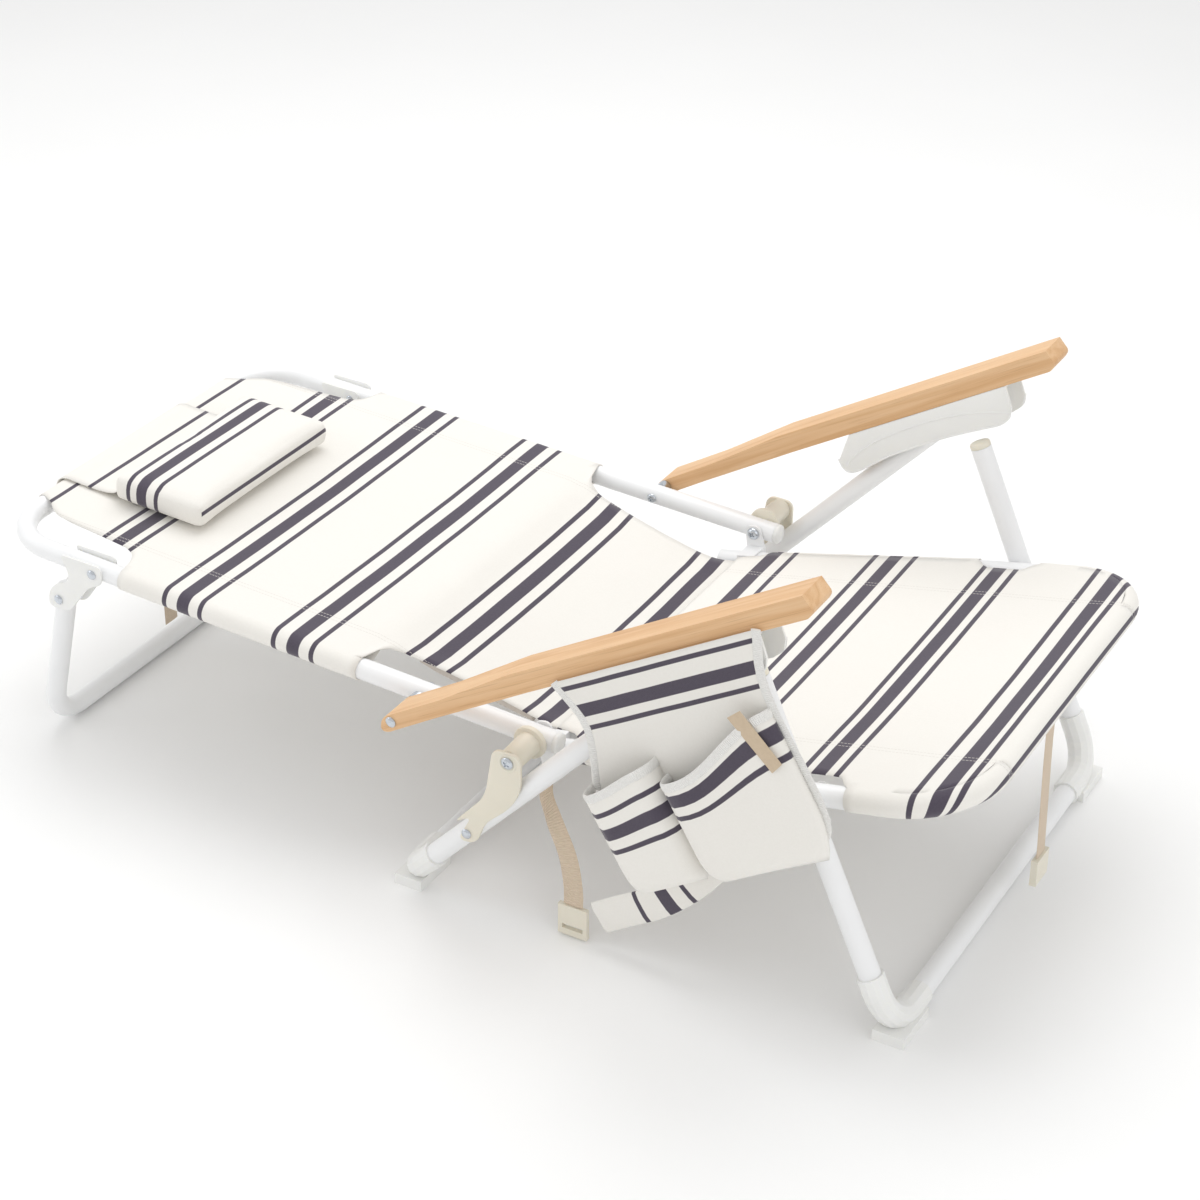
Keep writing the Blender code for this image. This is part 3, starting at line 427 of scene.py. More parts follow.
def moulding(axes, outline, y0, y1, edge=0.001, segments=3, corners=()):
    """Extrude a side-view outline across the chair and round both its rims.
    Corners are (point index, radius) pairs that are rounded first."""
    bm = bmesh.new()
    verts = [bmesh.ops.create_vert(bm, co=(x, y0, z))["vert"][0] for x, z in outline]
    face = bmesh.ops.contextual_create(bm, geom=verts)["faces"][0]
    for index, radius in corners:
        bmesh.ops.bevel(bm, geom=[verts[index]], offset=radius, segments=6, profile=0.5,
                        affect="VERTICES", material=-1)
    face = bm.faces[:][0] if len(bm.faces) == 1 else face
    made = bmesh.ops.extrude_face_region(bm, geom=[face])["geom"]
    moved = [v for v in made if isinstance(v, bmesh.types.BMVert)]
    bmesh.ops.translate(bm, vec=(0, y1 - y0, 0), verts=moved)
    bmesh.ops.recalc_face_normals(bm, faces=bm.faces)
    if edge:
        rims = [e for e in bm.edges if abs(e.verts[0].co.y - e.verts[1].co.y) < 1e-6]
        bmesh.ops.bevel(bm, geom=rims, offset=edge, segments=segments, profile=0.5,
                        affect="EDGES", material=-1, clamp_overlap=True)
    bmesh.ops.transform(bm, matrix=axes, verts=bm.verts)
    return bm


def joined(*meshes):
    """Put several closed meshes into one."""
    whole = bmesh.new()
    for bm in meshes:
        data = bpy.data.meshes.new("part")
        bm.to_mesh(data)
        bm.free()
        whole.from_mesh(data)
        bpy.data.meshes.remove(data)
    return whole


for tag, s in (("l", 1), ("r", -1)):
    outline = [(-0.019, 0.013), (0.0165, 0.012), (0.0165, -0.030), (0.004, -0.058),
               (-0.031, -0.0915), (-0.043, -0.1235), (-0.067, -0.1255), (-0.071, -0.1025),
               (-0.049, -0.0895), (-0.030, -0.055)]
    plate = moulding(HIP, outline, s * 0.3298, s * 0.3338, 0.0011, 3,
                     [(0, 0.010), (1, 0.010), (2, 0.012), (3, 0.015), (4, 0.010), (5, 0.010),
                      (6, 0.010), (7, 0.008), (8, 0.008), (9, 0.015)])
    boss = turned(HIP, (0, 0), [(s * 0.3334, 0.0080), (s * 0.3340, 0.0084), (s * 0.3346, 0.0092),
                  (s * 0.3346, 0.0104), (s * 0.3340, 0.0112), (s * 0.3334, 0.0114)])
    plate = piece("dog_leg_plate_" + tag, joined(plate, boss), ivory_plastic, "link_" + tag)
    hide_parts("link_plate_" + tag)
    for where, y0, y1 in (("outer", 0.2828, 0.2858), ("inner", 0.2542, 0.2572)):
        bx = CHEEK_BOLT_X
        px, pz = head_pivot(tag)
        outline = [(px + 0.006, 0.012), (bx + 0.014, 0.014), (bx + 0.014, -0.011),
                   (bx - 0.006, -0.020), (px + 0.021, pz + 0.034), (px + 0.016, pz - 0.012),
                   (px - 0.016, pz - 0.014), (px - 0.014, pz + 0.014)]
        cheek = moulding(BACK, outline, s * y0, s * y1, 0.0008, 3,
                         [(0, 0.006), (1, 0.008), (2, 0.008), (3, 0.012), (4, 0.012),
                          (5, 0.008), (6, 0.008), (7, 0.014)])
        cheek = piece("leg_cheek_%s_%s" % (where, tag), cheek, white_plastic, "back")
        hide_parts("head_bracket_%s_%s" % (where, tag))

    # apex plug: a ribbed disc on a collar that closes the front leg's top
    apex = FRONT_LEG.inverted() @ REAR_LEG.translation
    disc = turned(FRONT_LEG, (apex.x, apex.z),
                  [(s * 0.2980, 0.0034), (s * 0.2980, 0.0222), (s * 0.2986, 0.0234),
                   (s * 0.3034, 0.0234), (s * 0.3040, 0.0226), (s * 0.3040, 0.0034),
                   (s * 0.2980, 0.0034)], 48)
    level = ARM.to_3x3() @ Vector((0, 0, 1))
    bmesh.ops.bisect_plane(disc, geom=[*disc.verts, *disc.edges, *disc.faces],
                           plane_co=ARM @ Vector((0, 0, -0.0105)), plane_no=level,
                           clear_outer=True)
    bmesh.ops.holes_fill(disc, edges=disc.edges, sides=0)
    collar = turned(Matrix.Rotation(math.radians(90), 4, "X"), (0, 0),
                    [(0.0, 0), (0.0, 0.0125), (0.004, 0.0125), (0.0055, 0.0115),
                     (0.0062, 0.009), (0.0062, 0)])
    bmesh.ops.transform(collar, matrix=FRONT_LEG @ Matrix.Translation((0, s * 0.2915, 0.1543)),
                        verts=collar.verts)
    plug = piece("leg_top_plug_" + tag, joined(disc, collar), ivory_plastic, "front_leg")
    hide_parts("apex_plug_" + tag)

# ---- timber arms --------------------------------------------------------------------
# Solid hardwood bars, oiled. The rear end tapers to the rivet, the edges are rounded
# over, and the front end is cut square with a soft chamfer.


def timber(name, axes, light, dark):
    """Straight-grained wood whose figure runs along one direction."""
    mat = bpy.data.materials.new(name)
    mat.use_nodes = True
    tree = mat.node_tree
    new = tree.nodes.new
    link = tree.links.new
    shader = tree.nodes["Principled BSDF"]
    shader.inputs["Specular IOR Level"].default_value = 0.4
    coords = new("ShaderNodeTexCoord")
    turn = new("ShaderNodeMapping")
    turn.vector_type = "TEXTURE"
    turn.inputs["Location"].default_value = axes.translation
    turn.inputs["Rotation"].default_value = axes.to_euler()
    link(coords.outputs["Object"], turn.inputs["Vector"])
    stretch = new("ShaderNodeMapping")
    stretch.inputs["Scale"].default_value = (0.55, 9.0, 14.0)
    link(turn.outputs["Vector"], stretch.inputs["Vector"])
    figure = new("ShaderNodeTexNoise")
    figure.inputs["Scale"].default_value = 5.5
    figure.inputs["Detail"].default_value = 7.0
    figure.inputs["Distortion"].default_value = 1.1
    link(stretch.outputs["Vector"], figure.inputs["Vector"])
    pores_map = new("ShaderNodeMapping")
    pores_map.inputs["Scale"].default_value = (14.0, 900.0, 900.0)
    link(turn.outputs["Vector"], pores_map.inputs["Vector"])
    pores = new("ShaderNodeTexNoise")
    pores.inputs["Scale"].default_value = 1.0
    pores.inputs["Detail"].default_value = 3.0
    link(pores_map.outputs["Vector"], pores.inputs["Vector"])
    tone = new("ShaderNodeValToRGB")
    tone.color_ramp.elements[0].position = 0.32
    tone.color_ramp.elements[1].position = 0.68
    tone.color_ramp.elements[0].color = (*dark, 1.0)
    tone.color_ramp.elements[1].color = (*light, 1.0)
    middle = tone.color_ramp.elements.new(0.5)
    middle.color = (*((a + b) / 2 * 1.02 for a, b in zip(light, dark)), 1.0)
    link(figure.outputs["Fac"], tone.inputs["Fac"])
    fleck = new("ShaderNodeValToRGB")
    fleck.color_ramp.elements[0].position = 0.30
    fleck.color_ramp.elements[1].position = 0.42
    fleck.color_ramp.elements[0].color = (0.72, 0.66, 0.60, 1.0)
    fleck.color_ramp.elements[1].color = (1.0, 1.0, 1.0, 1.0)
    link(pores.outputs["Fac"], fleck.inputs["Fac"])
    mix = new("ShaderNodeMix")
    mix.data_type = "RGBA"
    mix.blend_type = "MULTIPLY"
    mix.inputs["Factor"].default_value = 0.55
    link(tone.outputs["Color"], mix.inputs["A"])
    link(fleck.outputs["Color"], mix.inputs["B"])
    link(mix.outputs["Result"], shader.inputs["Base Color"])
    rough = new("ShaderNodeMapRange")
    rough.inputs["To Min"].default_value = 0.58
    rough.inputs["To Max"].default_value = 0.44
    link(pores.outputs["Fac"], rough.inputs["Value"])
    link(rough.outputs["Result"], shader.inputs["Roughness"])
    relief = new("ShaderNodeBump")
    relief.inputs["Strength"].default_value = 0.12
    relief.inputs["Distance"].default_value = 0.0006
    link(pores.outputs["Fac"], relief.inputs["Height"])
    link(relief.outputs["Normal"], shader.inputs["Normal"])
    return mat


oiled_beech = timber("oiled_beech", ARM, (0.78, 0.52, 0.30), (0.66, 0.39, 0.19))
for tag, s in (("l", 1), ("r", -1)):
    outline = [(-0.020, -0.006), (-0.012, -0.011), (0.060, -0.009), (0.200, -0.0072),
               (0.573, -0.0072), (0.5815, -0.001), (0.5775, 0.0178), (0.190, 0.0178),
               (0.080, 0.0100), (-0.010, 0.0080)]
    arm = moulding(ARM, outline, s * 0.2945, s * 0.3395, 0.0042, 4,
                   [(0, 0.005), (1, 0.005), (4, 0.003), (5, 0.004), (9, 0.008)])
    arm = piece("timber_arm_" + tag, arm, oiled_beech, "arm_" + tag)
    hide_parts("arm_" + tag)

# ---- racks --------------------------------------------------------------------------
# Moulded channels screwed under the arms. The leg's pin runs inside them; each cheek has
# a bead along its lower edge and a curved rib, and the front corner is rounded.


def swept(axes, points, width, thick, facing, sides=12, square=0.5, closed_ends=True):
    """Loft an oval or squarish section along a path. Facing is the direction, in the part's
    own axes, that the flat side looks to; it may differ at each point."""
    bm = bmesh.new()
    along_layer = bm.verts.layers.float.new("along")
    rings = []
    path = [Vector(p) for p in points]
    run = 0.0
    for i, spot in enumerate(path):
        ahead_i = (path[min(i + 1, len(path) - 1)] - path[max(i - 1, 0)]).normalized()
        look = Vector(facing[i] if isinstance(facing[0], (tuple, Vector)) else facing)
        across = ahead_i.cross(look).normalized()
        look = across.cross(ahead_i).normalized()
        place = Matrix((across, look, ahead_i)).transposed().to_4x4()
        place.translation = spot
        made = bmesh.ops.create_circle(bm, segments=sides, radius=1.0)["verts"]
        for v in made:
            x, y = v.co.x, v.co.y
            reach = (abs(x) ** (1 / square) + abs(y) ** (1 / square)) ** square
            v.co = place @ Vector((x / reach * width / 2, y / reach * thick / 2, 0.0))
        if i:
            run += (spot - path[i - 1]).length
        for v in made:
            v[along_layer] = run
        rings.append({e for v in made for e in v.link_edges})
    for lower, upper in zip(rings, rings[1:]):
        bmesh.ops.bridge_loops(bm, edges=[*lower, *upper])
    if closed_ends:
        bmesh.ops.holes_fill(bm, edges=bm.edges, sides=0)
    bmesh.ops.recalc_face_normals(bm, faces=bm.faces)
    bmesh.ops.transform(bm, matrix=axes, verts=bm.verts)
    return bm


def eased(points, steps=5):
    """Smooth curve through the given points."""
    path = [Vector(p) for p in points]
    ends = [path[0] * 2 - path[1], *path, path[-1] * 2 - path[-2]]
    result = []
    for i in range(1, len(ends) - 2):
        a, b, c, d = ends[i - 1:i + 3]
        for k in range(steps):
            t = k / steps
            result.append(0.5 * (2 * b + (c - a) * t + (2 * a - 5 * b + 4 * c - d) * t * t
                                 + (3 * b - a - 3 * c + d) * t ** 3))
    return result + [path[-1]]


for tag, s in (("l", 1), ("r", -1)):
    lower_edge = [(0.258, -0.034), (0.259, -0.047), (0.266, -0.0545), (0.284, -0.0548),
                  (0.330, -0.0485), (0.405, -0.0470), (0.460, -0.0500), (0.482, -0.0515),
                  (0.498, -0.0470), (0.506, -0.0360)]
    under = -0.0074
    outline = [(0.286, under), *lower_edge, (0.511, under)]
    rack = moulding(ARM, outline, s * 0.2945, s * 0.3395, 0.0009, 2)
    rack = piece("leg_rack_" + tag, rack, white_plastic, "arm_" + tag)
    hollow = bmesh.new()
    bmesh.ops.create_cube(hollow, size=1.0)
    bmesh.ops.scale(hollow, vec=(0.40, 0.0386, 0.0730), verts=hollow.verts)
    bmesh.ops.translate(hollow, vec=(0.40, s * 0.3170, -0.0461), verts=hollow.verts)
    bmesh.ops.transform(hollow, matrix=ARM, verts=hollow.verts)
    cut(rack, hollow)
    trims = []
    for y, look in ((s * 0.2945, (0, -s, 0)), (s * 0.3395, (0, s, 0))):
        bead = eased([(x, y, z + 0.0012) for x, z in lower_edge], 4)
        trims.append(swept(ARM, bead, 0.0024, 0.0014, look, 8))
        rib = eased([(0.266, y, -0.044), (0.274, y, -0.038), (0.296, y, -0.0300),
                     (0.325, y, -0.0245), (0.386, y, -0.0210), (0.440, y, -0.0245),
                     (0.480, y, -0.0330), (0.502, y, -0.0405)], 4)
        trims.append(swept(ARM, rib, 0.0022, 0.0012, look, 8))
    trim = piece("rack_beads_" + tag, joined(*trims), white_plastic, "arm_" + tag)
    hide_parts("rack_" + tag)

# ---- shoes --------------------------------------------------------------------------
# White plastic shells on the lower corners of both legs. They keep the frame's own shape.


def plain(node, mat):
    """Show a frame solid as it is, in one finish."""
    for slot in frame["nodes"][node].material_slots:
        slot.material = mat


for tag in ("l", "r"):
    plain("front_shoe_" + tag, white_plastic)
    plain("rear_shoe_" + tag, white_plastic)

# ---- canvas slings ------------------------------------------------------------------
# Heavy cotton canvas with woven stripes in threes: thin, thick, thin. The back panel is
# stitched round the rails and the top bar, dips at the neck, and meets the seat panel.


def striped_canvas(name, bands, seams=()):
    """Canvas dyed by its own cloth map, which is in metres across and along the cloth.
    Bands are (centre, width) pairs along it; seams are distances of stitch lines from
    its middle."""
    mat = bpy.data.materials.new(name)
    mat.use_nodes = True
    tree = mat.node_tree
    link = tree.links.new
    shader = tree.nodes["Principled BSDF"]
    shader.inputs["Roughness"].default_value = 0.85
    shader.inputs["Specular IOR Level"].default_value = 0.25
    shader.inputs["Sheen Weight"].default_value = 0.25
    shader.inputs["Sheen Roughness"].default_value = 0.5

    def maths(kind, a, b=0.0, c=0.0):
        node = tree.nodes.new("ShaderNodeMath")
        node.operation = kind
        for socket, value in zip(node.inputs, (a, b, c)):
            if isinstance(value, (int, float)):
                socket.default_value = value
            else:
                link(value, socket)
        return node.outputs["Value"]

    cloth = tree.nodes.new("ShaderNodeUVMap")
    cloth.uv_map = "cloth"
    split = tree.nodes.new("ShaderNodeSeparateXYZ")
    link(cloth.outputs["UV"], split.inputs["Vector"])
    across, along = split.outputs["X"], split.outputs["Y"]

    # threads waver a little, so no stripe is ruler straight
    coords = tree.nodes.new("ShaderNodeTexCoord")
    waver = tree.nodes.new("ShaderNodeTexNoise")
    waver.inputs["Scale"].default_value = 7.0
    link(coords.outputs["Object"], waver.inputs["Vector"])
    shift = maths("MULTIPLY_ADD", waver.outputs["Fac"], 0.0024, -0.0012)
    place = maths("ADD", along, shift)
    dark = None
    for centre, width in bands:
        off = maths("ABSOLUTE", maths("SUBTRACT", place, centre))
        edge = tree.nodes.new("ShaderNodeMapRange")
        edge.inputs["From Min"].default_value = width / 2 + 0.0003
        edge.inputs["From Max"].default_value = width / 2 - 0.0003
        link(off, edge.inputs["Value"])
        mask = edge.outputs["Result"]
        dark = mask if dark is None else maths("MAXIMUM", dark, mask)

    # weave: fine warp and weft ribs, plus slow patches of shade
    weave = tree.nodes.new("ShaderNodeMix")
    weave.data_type = "FLOAT"
    weave.inputs["Factor"].default_value = 0.5
    for socket, source in (("A", across), ("B", along)):
        rib = maths("SINE", maths("MULTIPLY", source, math.tau / 0.0011))
        link(rib, weave.inputs[socket])
    fibre = tree.nodes.new("ShaderNodeTexNoise")
    fibre.inputs["Scale"].default_value = 420.0
    fibre.inputs["Detail"].default_value = 4.0
    link(coords.outputs["Object"], fibre.inputs["Vector"])
    patch = tree.nodes.new("ShaderNodeTexNoise")
    patch.inputs["Scale"].default_value = 6.0
    patch.inputs["Detail"].default_value = 4.0
    link(coords.outputs["Object"], patch.inputs["Vector"])

    def dyed(light, deep):
        node = tree.nodes.new("ShaderNodeMix")
        node.data_type = "RGBA"
        node.inputs["A"].default_value = (*deep, 1.0)
        node.inputs["B"].default_value = (*light, 1.0)
        link(maths("MULTIPLY_ADD", fibre.outputs["Fac"], 0.6,
                   maths("MULTIPLY", patch.outputs["Fac"], 0.4)), node.inputs["Factor"])
        return node.outputs["Result"]

    colour = tree.nodes.new("ShaderNodeMix")
    colour.data_type = "RGBA"
    link(dark, colour.inputs["Factor"])
    link(dyed((0.87, 0.85, 0.805), (0.80, 0.775, 0.725)), colour.inputs["A"])
    link(dyed((0.098, 0.083, 0.112), (0.062, 0.052, 0.072)), colour.inputs["B"])
    result = colour.outputs["Result"]
    height = maths("MULTIPLY_ADD", weave.outputs["Result"], 0.10,
                   maths("MULTIPLY", fibre.outputs["Fac"], 0.35))
    for centre in seams:
        off = maths("ABSOLUTE", maths("SUBTRACT", maths("ABSOLUTE", across), centre))
        near = maths("LESS_THAN", off, 0.0005)
        dash = maths("LESS_THAN", maths("MODULO", maths("ADD", along, 10.0), 0.0042), 0.0030)
        stitch = maths("MULTIPLY", near, dash)
        thread = tree.nodes.new("ShaderNodeMix")
        thread.data_type = "RGBA"
        thread.inputs["B"].default_value = (0.70, 0.67, 0.62, 1.0)
        link(maths("MULTIPLY", stitch, 0.75), thread.inputs["Factor"])
        link(result, thread.inputs["A"])
        result = thread.outputs["Result"]
        height = maths("SUBTRACT", height, maths("MULTIPLY", stitch, 0.8))
    link(result, shader.inputs["Base Color"])
    relief = tree.nodes.new("ShaderNodeBump")
    relief.inputs["Strength"].default_value = 0.5
    relief.inputs["Distance"].default_value = 0.0005
    link(height, relief.inputs["Height"])
    link(relief.outputs["Normal"], shader.inputs["Normal"])
    return mat


def cloth_grid(across, rows, place):
    """A grid of cloth. Place gives the spot for (distance across, distance along)."""
    bm = bmesh.new()
    nx, ny = len(across) - 1, len(rows) - 1
    bmesh.ops.create_grid(bm, x_segments=nx, y_segments=ny, size=0.5)
    uv = bm.loops.layers.uv.new("cloth")
    spots = {}
    for v in bm.verts:
        spots[v] = (across[round((v.co.x + 0.5) * nx)], rows[round((v.co.y + 0.5) * ny)])
    for face in bm.faces:
        for loop in face.loops:
            loop[uv].uv = spots[loop.vert]
    for v, (a, r) in spots.items():
        v.co = place(a, r)
    return bm


def remap(bm, rule):
    """Rewrite the cloth map: rule turns each stored pair into metres across and along."""
    uv = bm.loops.layers.uv.active
    for face in bm.faces:
        for loop in face.loops:
            loop[uv].uv = rule(*loop[uv].uv)


def spread(start, end, step):
    """Even steps from start to end."""
    count = max(1, round(abs(end - start) / step))
    return [start + (end - start) * i / count for i in range(count + 1)]


def between(table, x):
    """Value at x on a line through (x, value) pairs."""
    if x <= table[0][0]:
        return table[0][1]
    for (a, va), (b, vb) in zip(table, table[1:]):
        if x <= b:
            return va + (vb - va) * (x - a) / (b - a)
    return table[-1][1]


def creases(x, y, seed, strength):
    """Soft pulls and ripples in stretched canvas."""
    slow = noise.noise(Vector((x * 5.0, y * 4.0, seed)))
    pull = noise.noise(Vector((x * 26.0 + y * 7.0, y * 5.0, seed + 7.0)))
    return strength * (slow * 0.7 + pull * 0.3)


CLOTH_R = 0.0142
BAR = -0.758
# the dip at the neck, as (x, z) along the back panel's own axes
neck_line = eased([(x, 0.0, z) for x, z in (
    (-0.300, CLOTH_R), (-0.262, CLOTH_R), (-0.236, 0.0126), (-0.2023, 0.0006),
    (-0.1780, -0.0042), (-0.1507, -0.0092), (-0.1050, -0.0172), (-0.0560, -0.0258),
    (-0.0300, -0.0284), (-0.0080, -0.0270), (0.0180, -0.0215), (0.0330, -0.0165))], 6)
neck_run = [0.0]
for a, b in zip(neck_line, neck_line[1:]):
    neck_run.append(neck_run[-1] + (b - a).length)
back_half_width = [(-0.86, 0.176), (BAR - 0.02, 0.186), (BAR, 0.190), (-0.742, 0.198),
                   (-0.730, 0.209), (-0.715, 0.218), (-0.690, 0.2225), (-0.640, 0.2265),
                   (-0.600, 0.2305), (-0.588, 0.236), (-0.580, 0.244), (-0.575, 0.256),
                   (-0.572, 0.270), (-0.233, 0.270), (-0.2305, 0.258), (-0.227, 0.243),
                   (-0.220, 0.231), (-0.2023, 0.2215), (-0.1800, 0.2175), (-0.1500, 0.2140),
                   (-0.1000, 0.2105), (-0.0500, 0.2100), (-0.0200, 0.2120), (0.0, 0.2170),
                   (0.040, 0.2240)]


def back_line(v):
    """Side-view spot of the back panel at a distance v along the cloth."""
    if v > -0.300:
        run = v + 0.300
        for i in range(1, len(neck_run)):
            if run <= neck_run[i] or i == len(neck_run) - 1:
                t = (run - neck_run[i - 1]) / (neck_run[i] - neck_run[i - 1])
                spot = neck_line[i - 1].lerp(neck_line[i], t)
                return spot.x, spot.z
    if v >= BAR:
        return v, CLOTH_R
    turned_by = (BAR - v) / CLOTH_R
    if turned_by < math.pi:
        return BAR - CLOTH_R * math.sin(turned_by), CLOTH_R * math.cos(turned_by)
    past = (BAR - v) - math.pi * CLOTH_R
    return BAR + past, -CLOTH_R + past * 0.42


def back_place(u, v):
    """Spot of the back panel in the room. u is a share of its half width."""
    x, z = back_line(v)
    half = between(back_half_width, v)
    y = u * half
    if -0.74 < v:
        fade = min(1.0, (v + 0.74) / 0.05) * (1.0 - abs(u) ** 3)
        z -= 0.0032 * fade * (1.0 - u * u)
        z += creases(v, y, 3.0, 0.0012) * fade
        if v > -0.235:
            # the bound edge of the neck curls up a little
            z += 0.0035 * max(0.0, abs(u) - 0.86) / 0.14
    return BACK @ Vector((x, y, z))


back_rows = (spread(-0.845, -0.8036, 0.010) + spread(-0.8036, BAR, 0.004)[1:]
             + spread(BAR, -0.700, 0.006)[1:] + spread(-0.700, -0.600, 0.012)[1:]
             + spread(-0.600, -0.572, 0.003)[1:])
sleeve_rows = spread(-0.572, -0.233, 0.0115)
neck_rows = spread(-0.233, -0.196, 0.003) + spread(-0.196, 0.040, 0.008)[1:]
shares = spread(-1.0, 1.0, 0.05)
panel = cloth_grid(shares, back_rows + sleeve_rows[1:] + neck_rows[1:], back_place)
remap(panel, lambda u, v: (u * between(back_half_width, v), v))


def tunnel(axes, rail_y, s, rows, seam_y, radius=CLOTH_R, rail_at=None):
    """The stitched tunnel that carries on from the panel's edge round a rail."""
    arc = spread(0.0, math.pi, math.pi / 14)
    tail = spread(0.0, rail_y - seam_y, 0.012)[1:]
    stations = [(a * radius, a, 0.0) for a in arc]
    stations += [(math.pi * radius + t, math.pi, t) for t in tail]

    def place(index, v):
        _, angle, back = stations[int(round(index))]
        y_mid = rail_at(v) if rail_at else rail_y
        ripple = 0.0005 * noise.noise(Vector((v * 60.0, angle * 1.3, s * 5.0)))
        y = y_mid + (radius + ripple) * math.sin(angle) - back
        z = (radius + ripple) * math.cos(angle) + back * (radius + 0.0095) / (rail_y - seam_y)
        return axes @ Vector((v, s * y, z))

    bm = cloth_grid([float(i) for i in range(len(stations))], rows, place)
    remap(bm, lambda index, v: (s * (rail_y + stations[int(round(index))][0]), v))
    return bm


def finish_cloth(name, parts, mat, body, thickness=0.0012):
    """Weld cloth grids into one skin and give it its thickness, inwards."""
    bm = joined(*parts)
    bmesh.ops.remove_doubles(bm, verts=bm.verts, dist=0.0004)
    bmesh.ops.recalc_face_normals(bm, faces=bm.faces)
    obj = piece(name, bm, mat, None, smooth=50.0)
    # the outer side is the one that faces up in the middle of the panel
    middle = sorted(obj.data.polygons, key=lambda p: -p.area)[:40]
    if sum(p.normal.z for p in middle) < 0:
        obj.data.flip_normals()
    skin = obj.modifiers.new("thickness", "SOLIDIFY")
    skin.thickness = thickness
    skin.offset = -1.0
    skin.use_even_offset = False
    if body:
        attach(obj, body)
    return obj


back_bands = [(-0.7420, 0.0060)] + [(c, 0.0065) for c in (
    -0.6360, -0.5920, -0.5030, -0.4510, -0.3460, -0.2935, -0.2000, -0.1485, -0.0470, 0.0030)]
back_bands += [(c, 0.0170) for c in (-0.6140, -0.4760, -0.3190, -0.1730, -0.0210)]
back_canvas = striped_canvas("back_canvas", back_bands, seams=(0.222, 0.216))
back_cover = finish_cloth("back_canvas_panel", [
    panel, tunnel(BACK, 0.270, 1, sleeve_rows, 0.222),
    tunnel(BACK, 0.270, -1, sleeve_rows, 0.222)], back_canvas, None)
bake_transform(back_cover, "back", "seat", start=(-0.055, 0.0176, 0.235), end=(0.100, 0.0176, 0.2065))
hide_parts("back_sling")

# seat panel: flat between the flared rails, stitched round them on both sides of each
# leg pivot, and wrapped down over the front bar
FRONT_BAR = 0.168
CORNER_X, CORNER_Y, CORNER_R = 0.083, 0.181, 0.085


def seat_rail(x):
    """Distance of the seat rail from the middle plane."""
    return between([(-0.305, 0.2408), (-0.030, 0.266), (0.083, 0.266)], x)


seat_half_width = [(-0.345, 0.2200), (-0.330, 0.2260), (-0.318, 0.2290), (-0.312, 0.2340),
                   (-0.308, 0.2395), (-0.302, seat_rail(-0.302)), (-0.042, seat_rail(-0.042)),
                   (-0.036, 0.262), (-0.031, 0.254), (-0.024, 0.2475), (0.020, 0.2475),
                   (0.026, 0.254), (0.030, 0.262), (0.036, 0.266), (0.083, 0.266)]


def seat_place(u, v):
    """Spot of the seat panel. v runs past the front bar and back underneath it."""
    half = between(seat_half_width, min(v, 0.083))
    x, z = v, CLOTH_R
    y = u * half
    if v > 0.083:
        # the front corners are round, so the cloth's edge follows an arc of the tube
        reach = min(v, FRONT_BAR) - CORNER_X
        half = CORNER_Y + math.sqrt(max(0.0, CORNER_R ** 2 - min(reach, CORNER_R) ** 2))
        y = u * half
    if v > FRONT_BAR:
        turned_by = (v - FRONT_BAR) / CLOTH_R
        if turned_by < math.pi:
            x = FRONT_BAR + CLOTH_R * math.sin(turned_by)
            z = CLOTH_R * math.cos(turned_by)
        else:
            past = (v - FRONT_BAR) - math.pi * CLOTH_R
            x, z = FRONT_BAR - past, -CLOTH_R + past * 0.45
    if v < 0.165:
        fade = (1.0 - abs(u) ** 3) * min(1.0, (0.165 - v) / 0.04) * min(1.0, (v + 0.345) / 0.05)
        z -= 0.0035 * fade * (1.0 - u * u)
        z += creases(v, y, 11.0, 0.0012) * fade
    if v < -0.300:
        z += 0.0012
    return SEAT @ Vector((x, y, z))


def corner_place(index, v, s):
    """Tunnel round a front corner: index walks round the tube, v along its arc."""
    angle = math.pi * index / 14
    turn = v / CORNER_R
    centre = Vector((CORNER_X, CORNER_Y, CLOTH_R * math.cos(angle)))
    out = Vector((math.sin(turn), math.cos(turn), 0.0))
    spot = centre + out * (CORNER_R + CLOTH_R * math.sin(angle))
    return SEAT @ Vector((spot.x, s * spot.y, spot.z))


def rail_tunnel(start, end, s):
    """Seat tunnel from start to end along one rail, with its seam inboard underneath."""
    return tunnel(SEAT, 0.266, s, spread(start, end, 0.0115), 0.220, rail_at=seat_rail)


seat_rows = (spread(-0.345, -0.302, 0.0054) + spread(-0.302, -0.042, 0.0118)[1:]
             + spread(-0.042, 0.036, 0.0040)[1:] + spread(0.036, 0.083, 0.0118)[1:]
             + spread(0.083, FRONT_BAR, 0.0061)[1:] + spread(FRONT_BAR, 0.2127, 0.0045)[1:]
             + spread(0.2127, 0.250, 0.0093)[1:])
seat_panel = cloth_grid(shares, seat_rows, seat_place)


def seat_half(v):
    """Half width of the seat panel at v; the front corners are round."""
    if v < CORNER_X:
        return between(seat_half_width, v)
    return CORNER_Y + math.sqrt(max(0.0, CORNER_R ** 2 - min(v - CORNER_X, CORNER_R) ** 2))


remap(seat_panel, lambda u, v: (u * seat_half(v), v))


def corner_tunnel(s):
    """Tunnel round a front corner of the seat hoop."""
    turns = [CORNER_R * a for a in spread(0.0, math.pi / 2, math.pi / 24)]
    bm = cloth_grid([float(i) for i in range(15)], turns,
                    lambda index, v: corner_place(index, v, s))

    def flat_out(index, v):
        reach = CORNER_R + CLOTH_R * math.pi * index / 14
        return (s * (CORNER_Y + reach * math.cos(v / CORNER_R)),
                CORNER_X + reach * math.sin(v / CORNER_R))

    remap(bm, flat_out)
    return bm


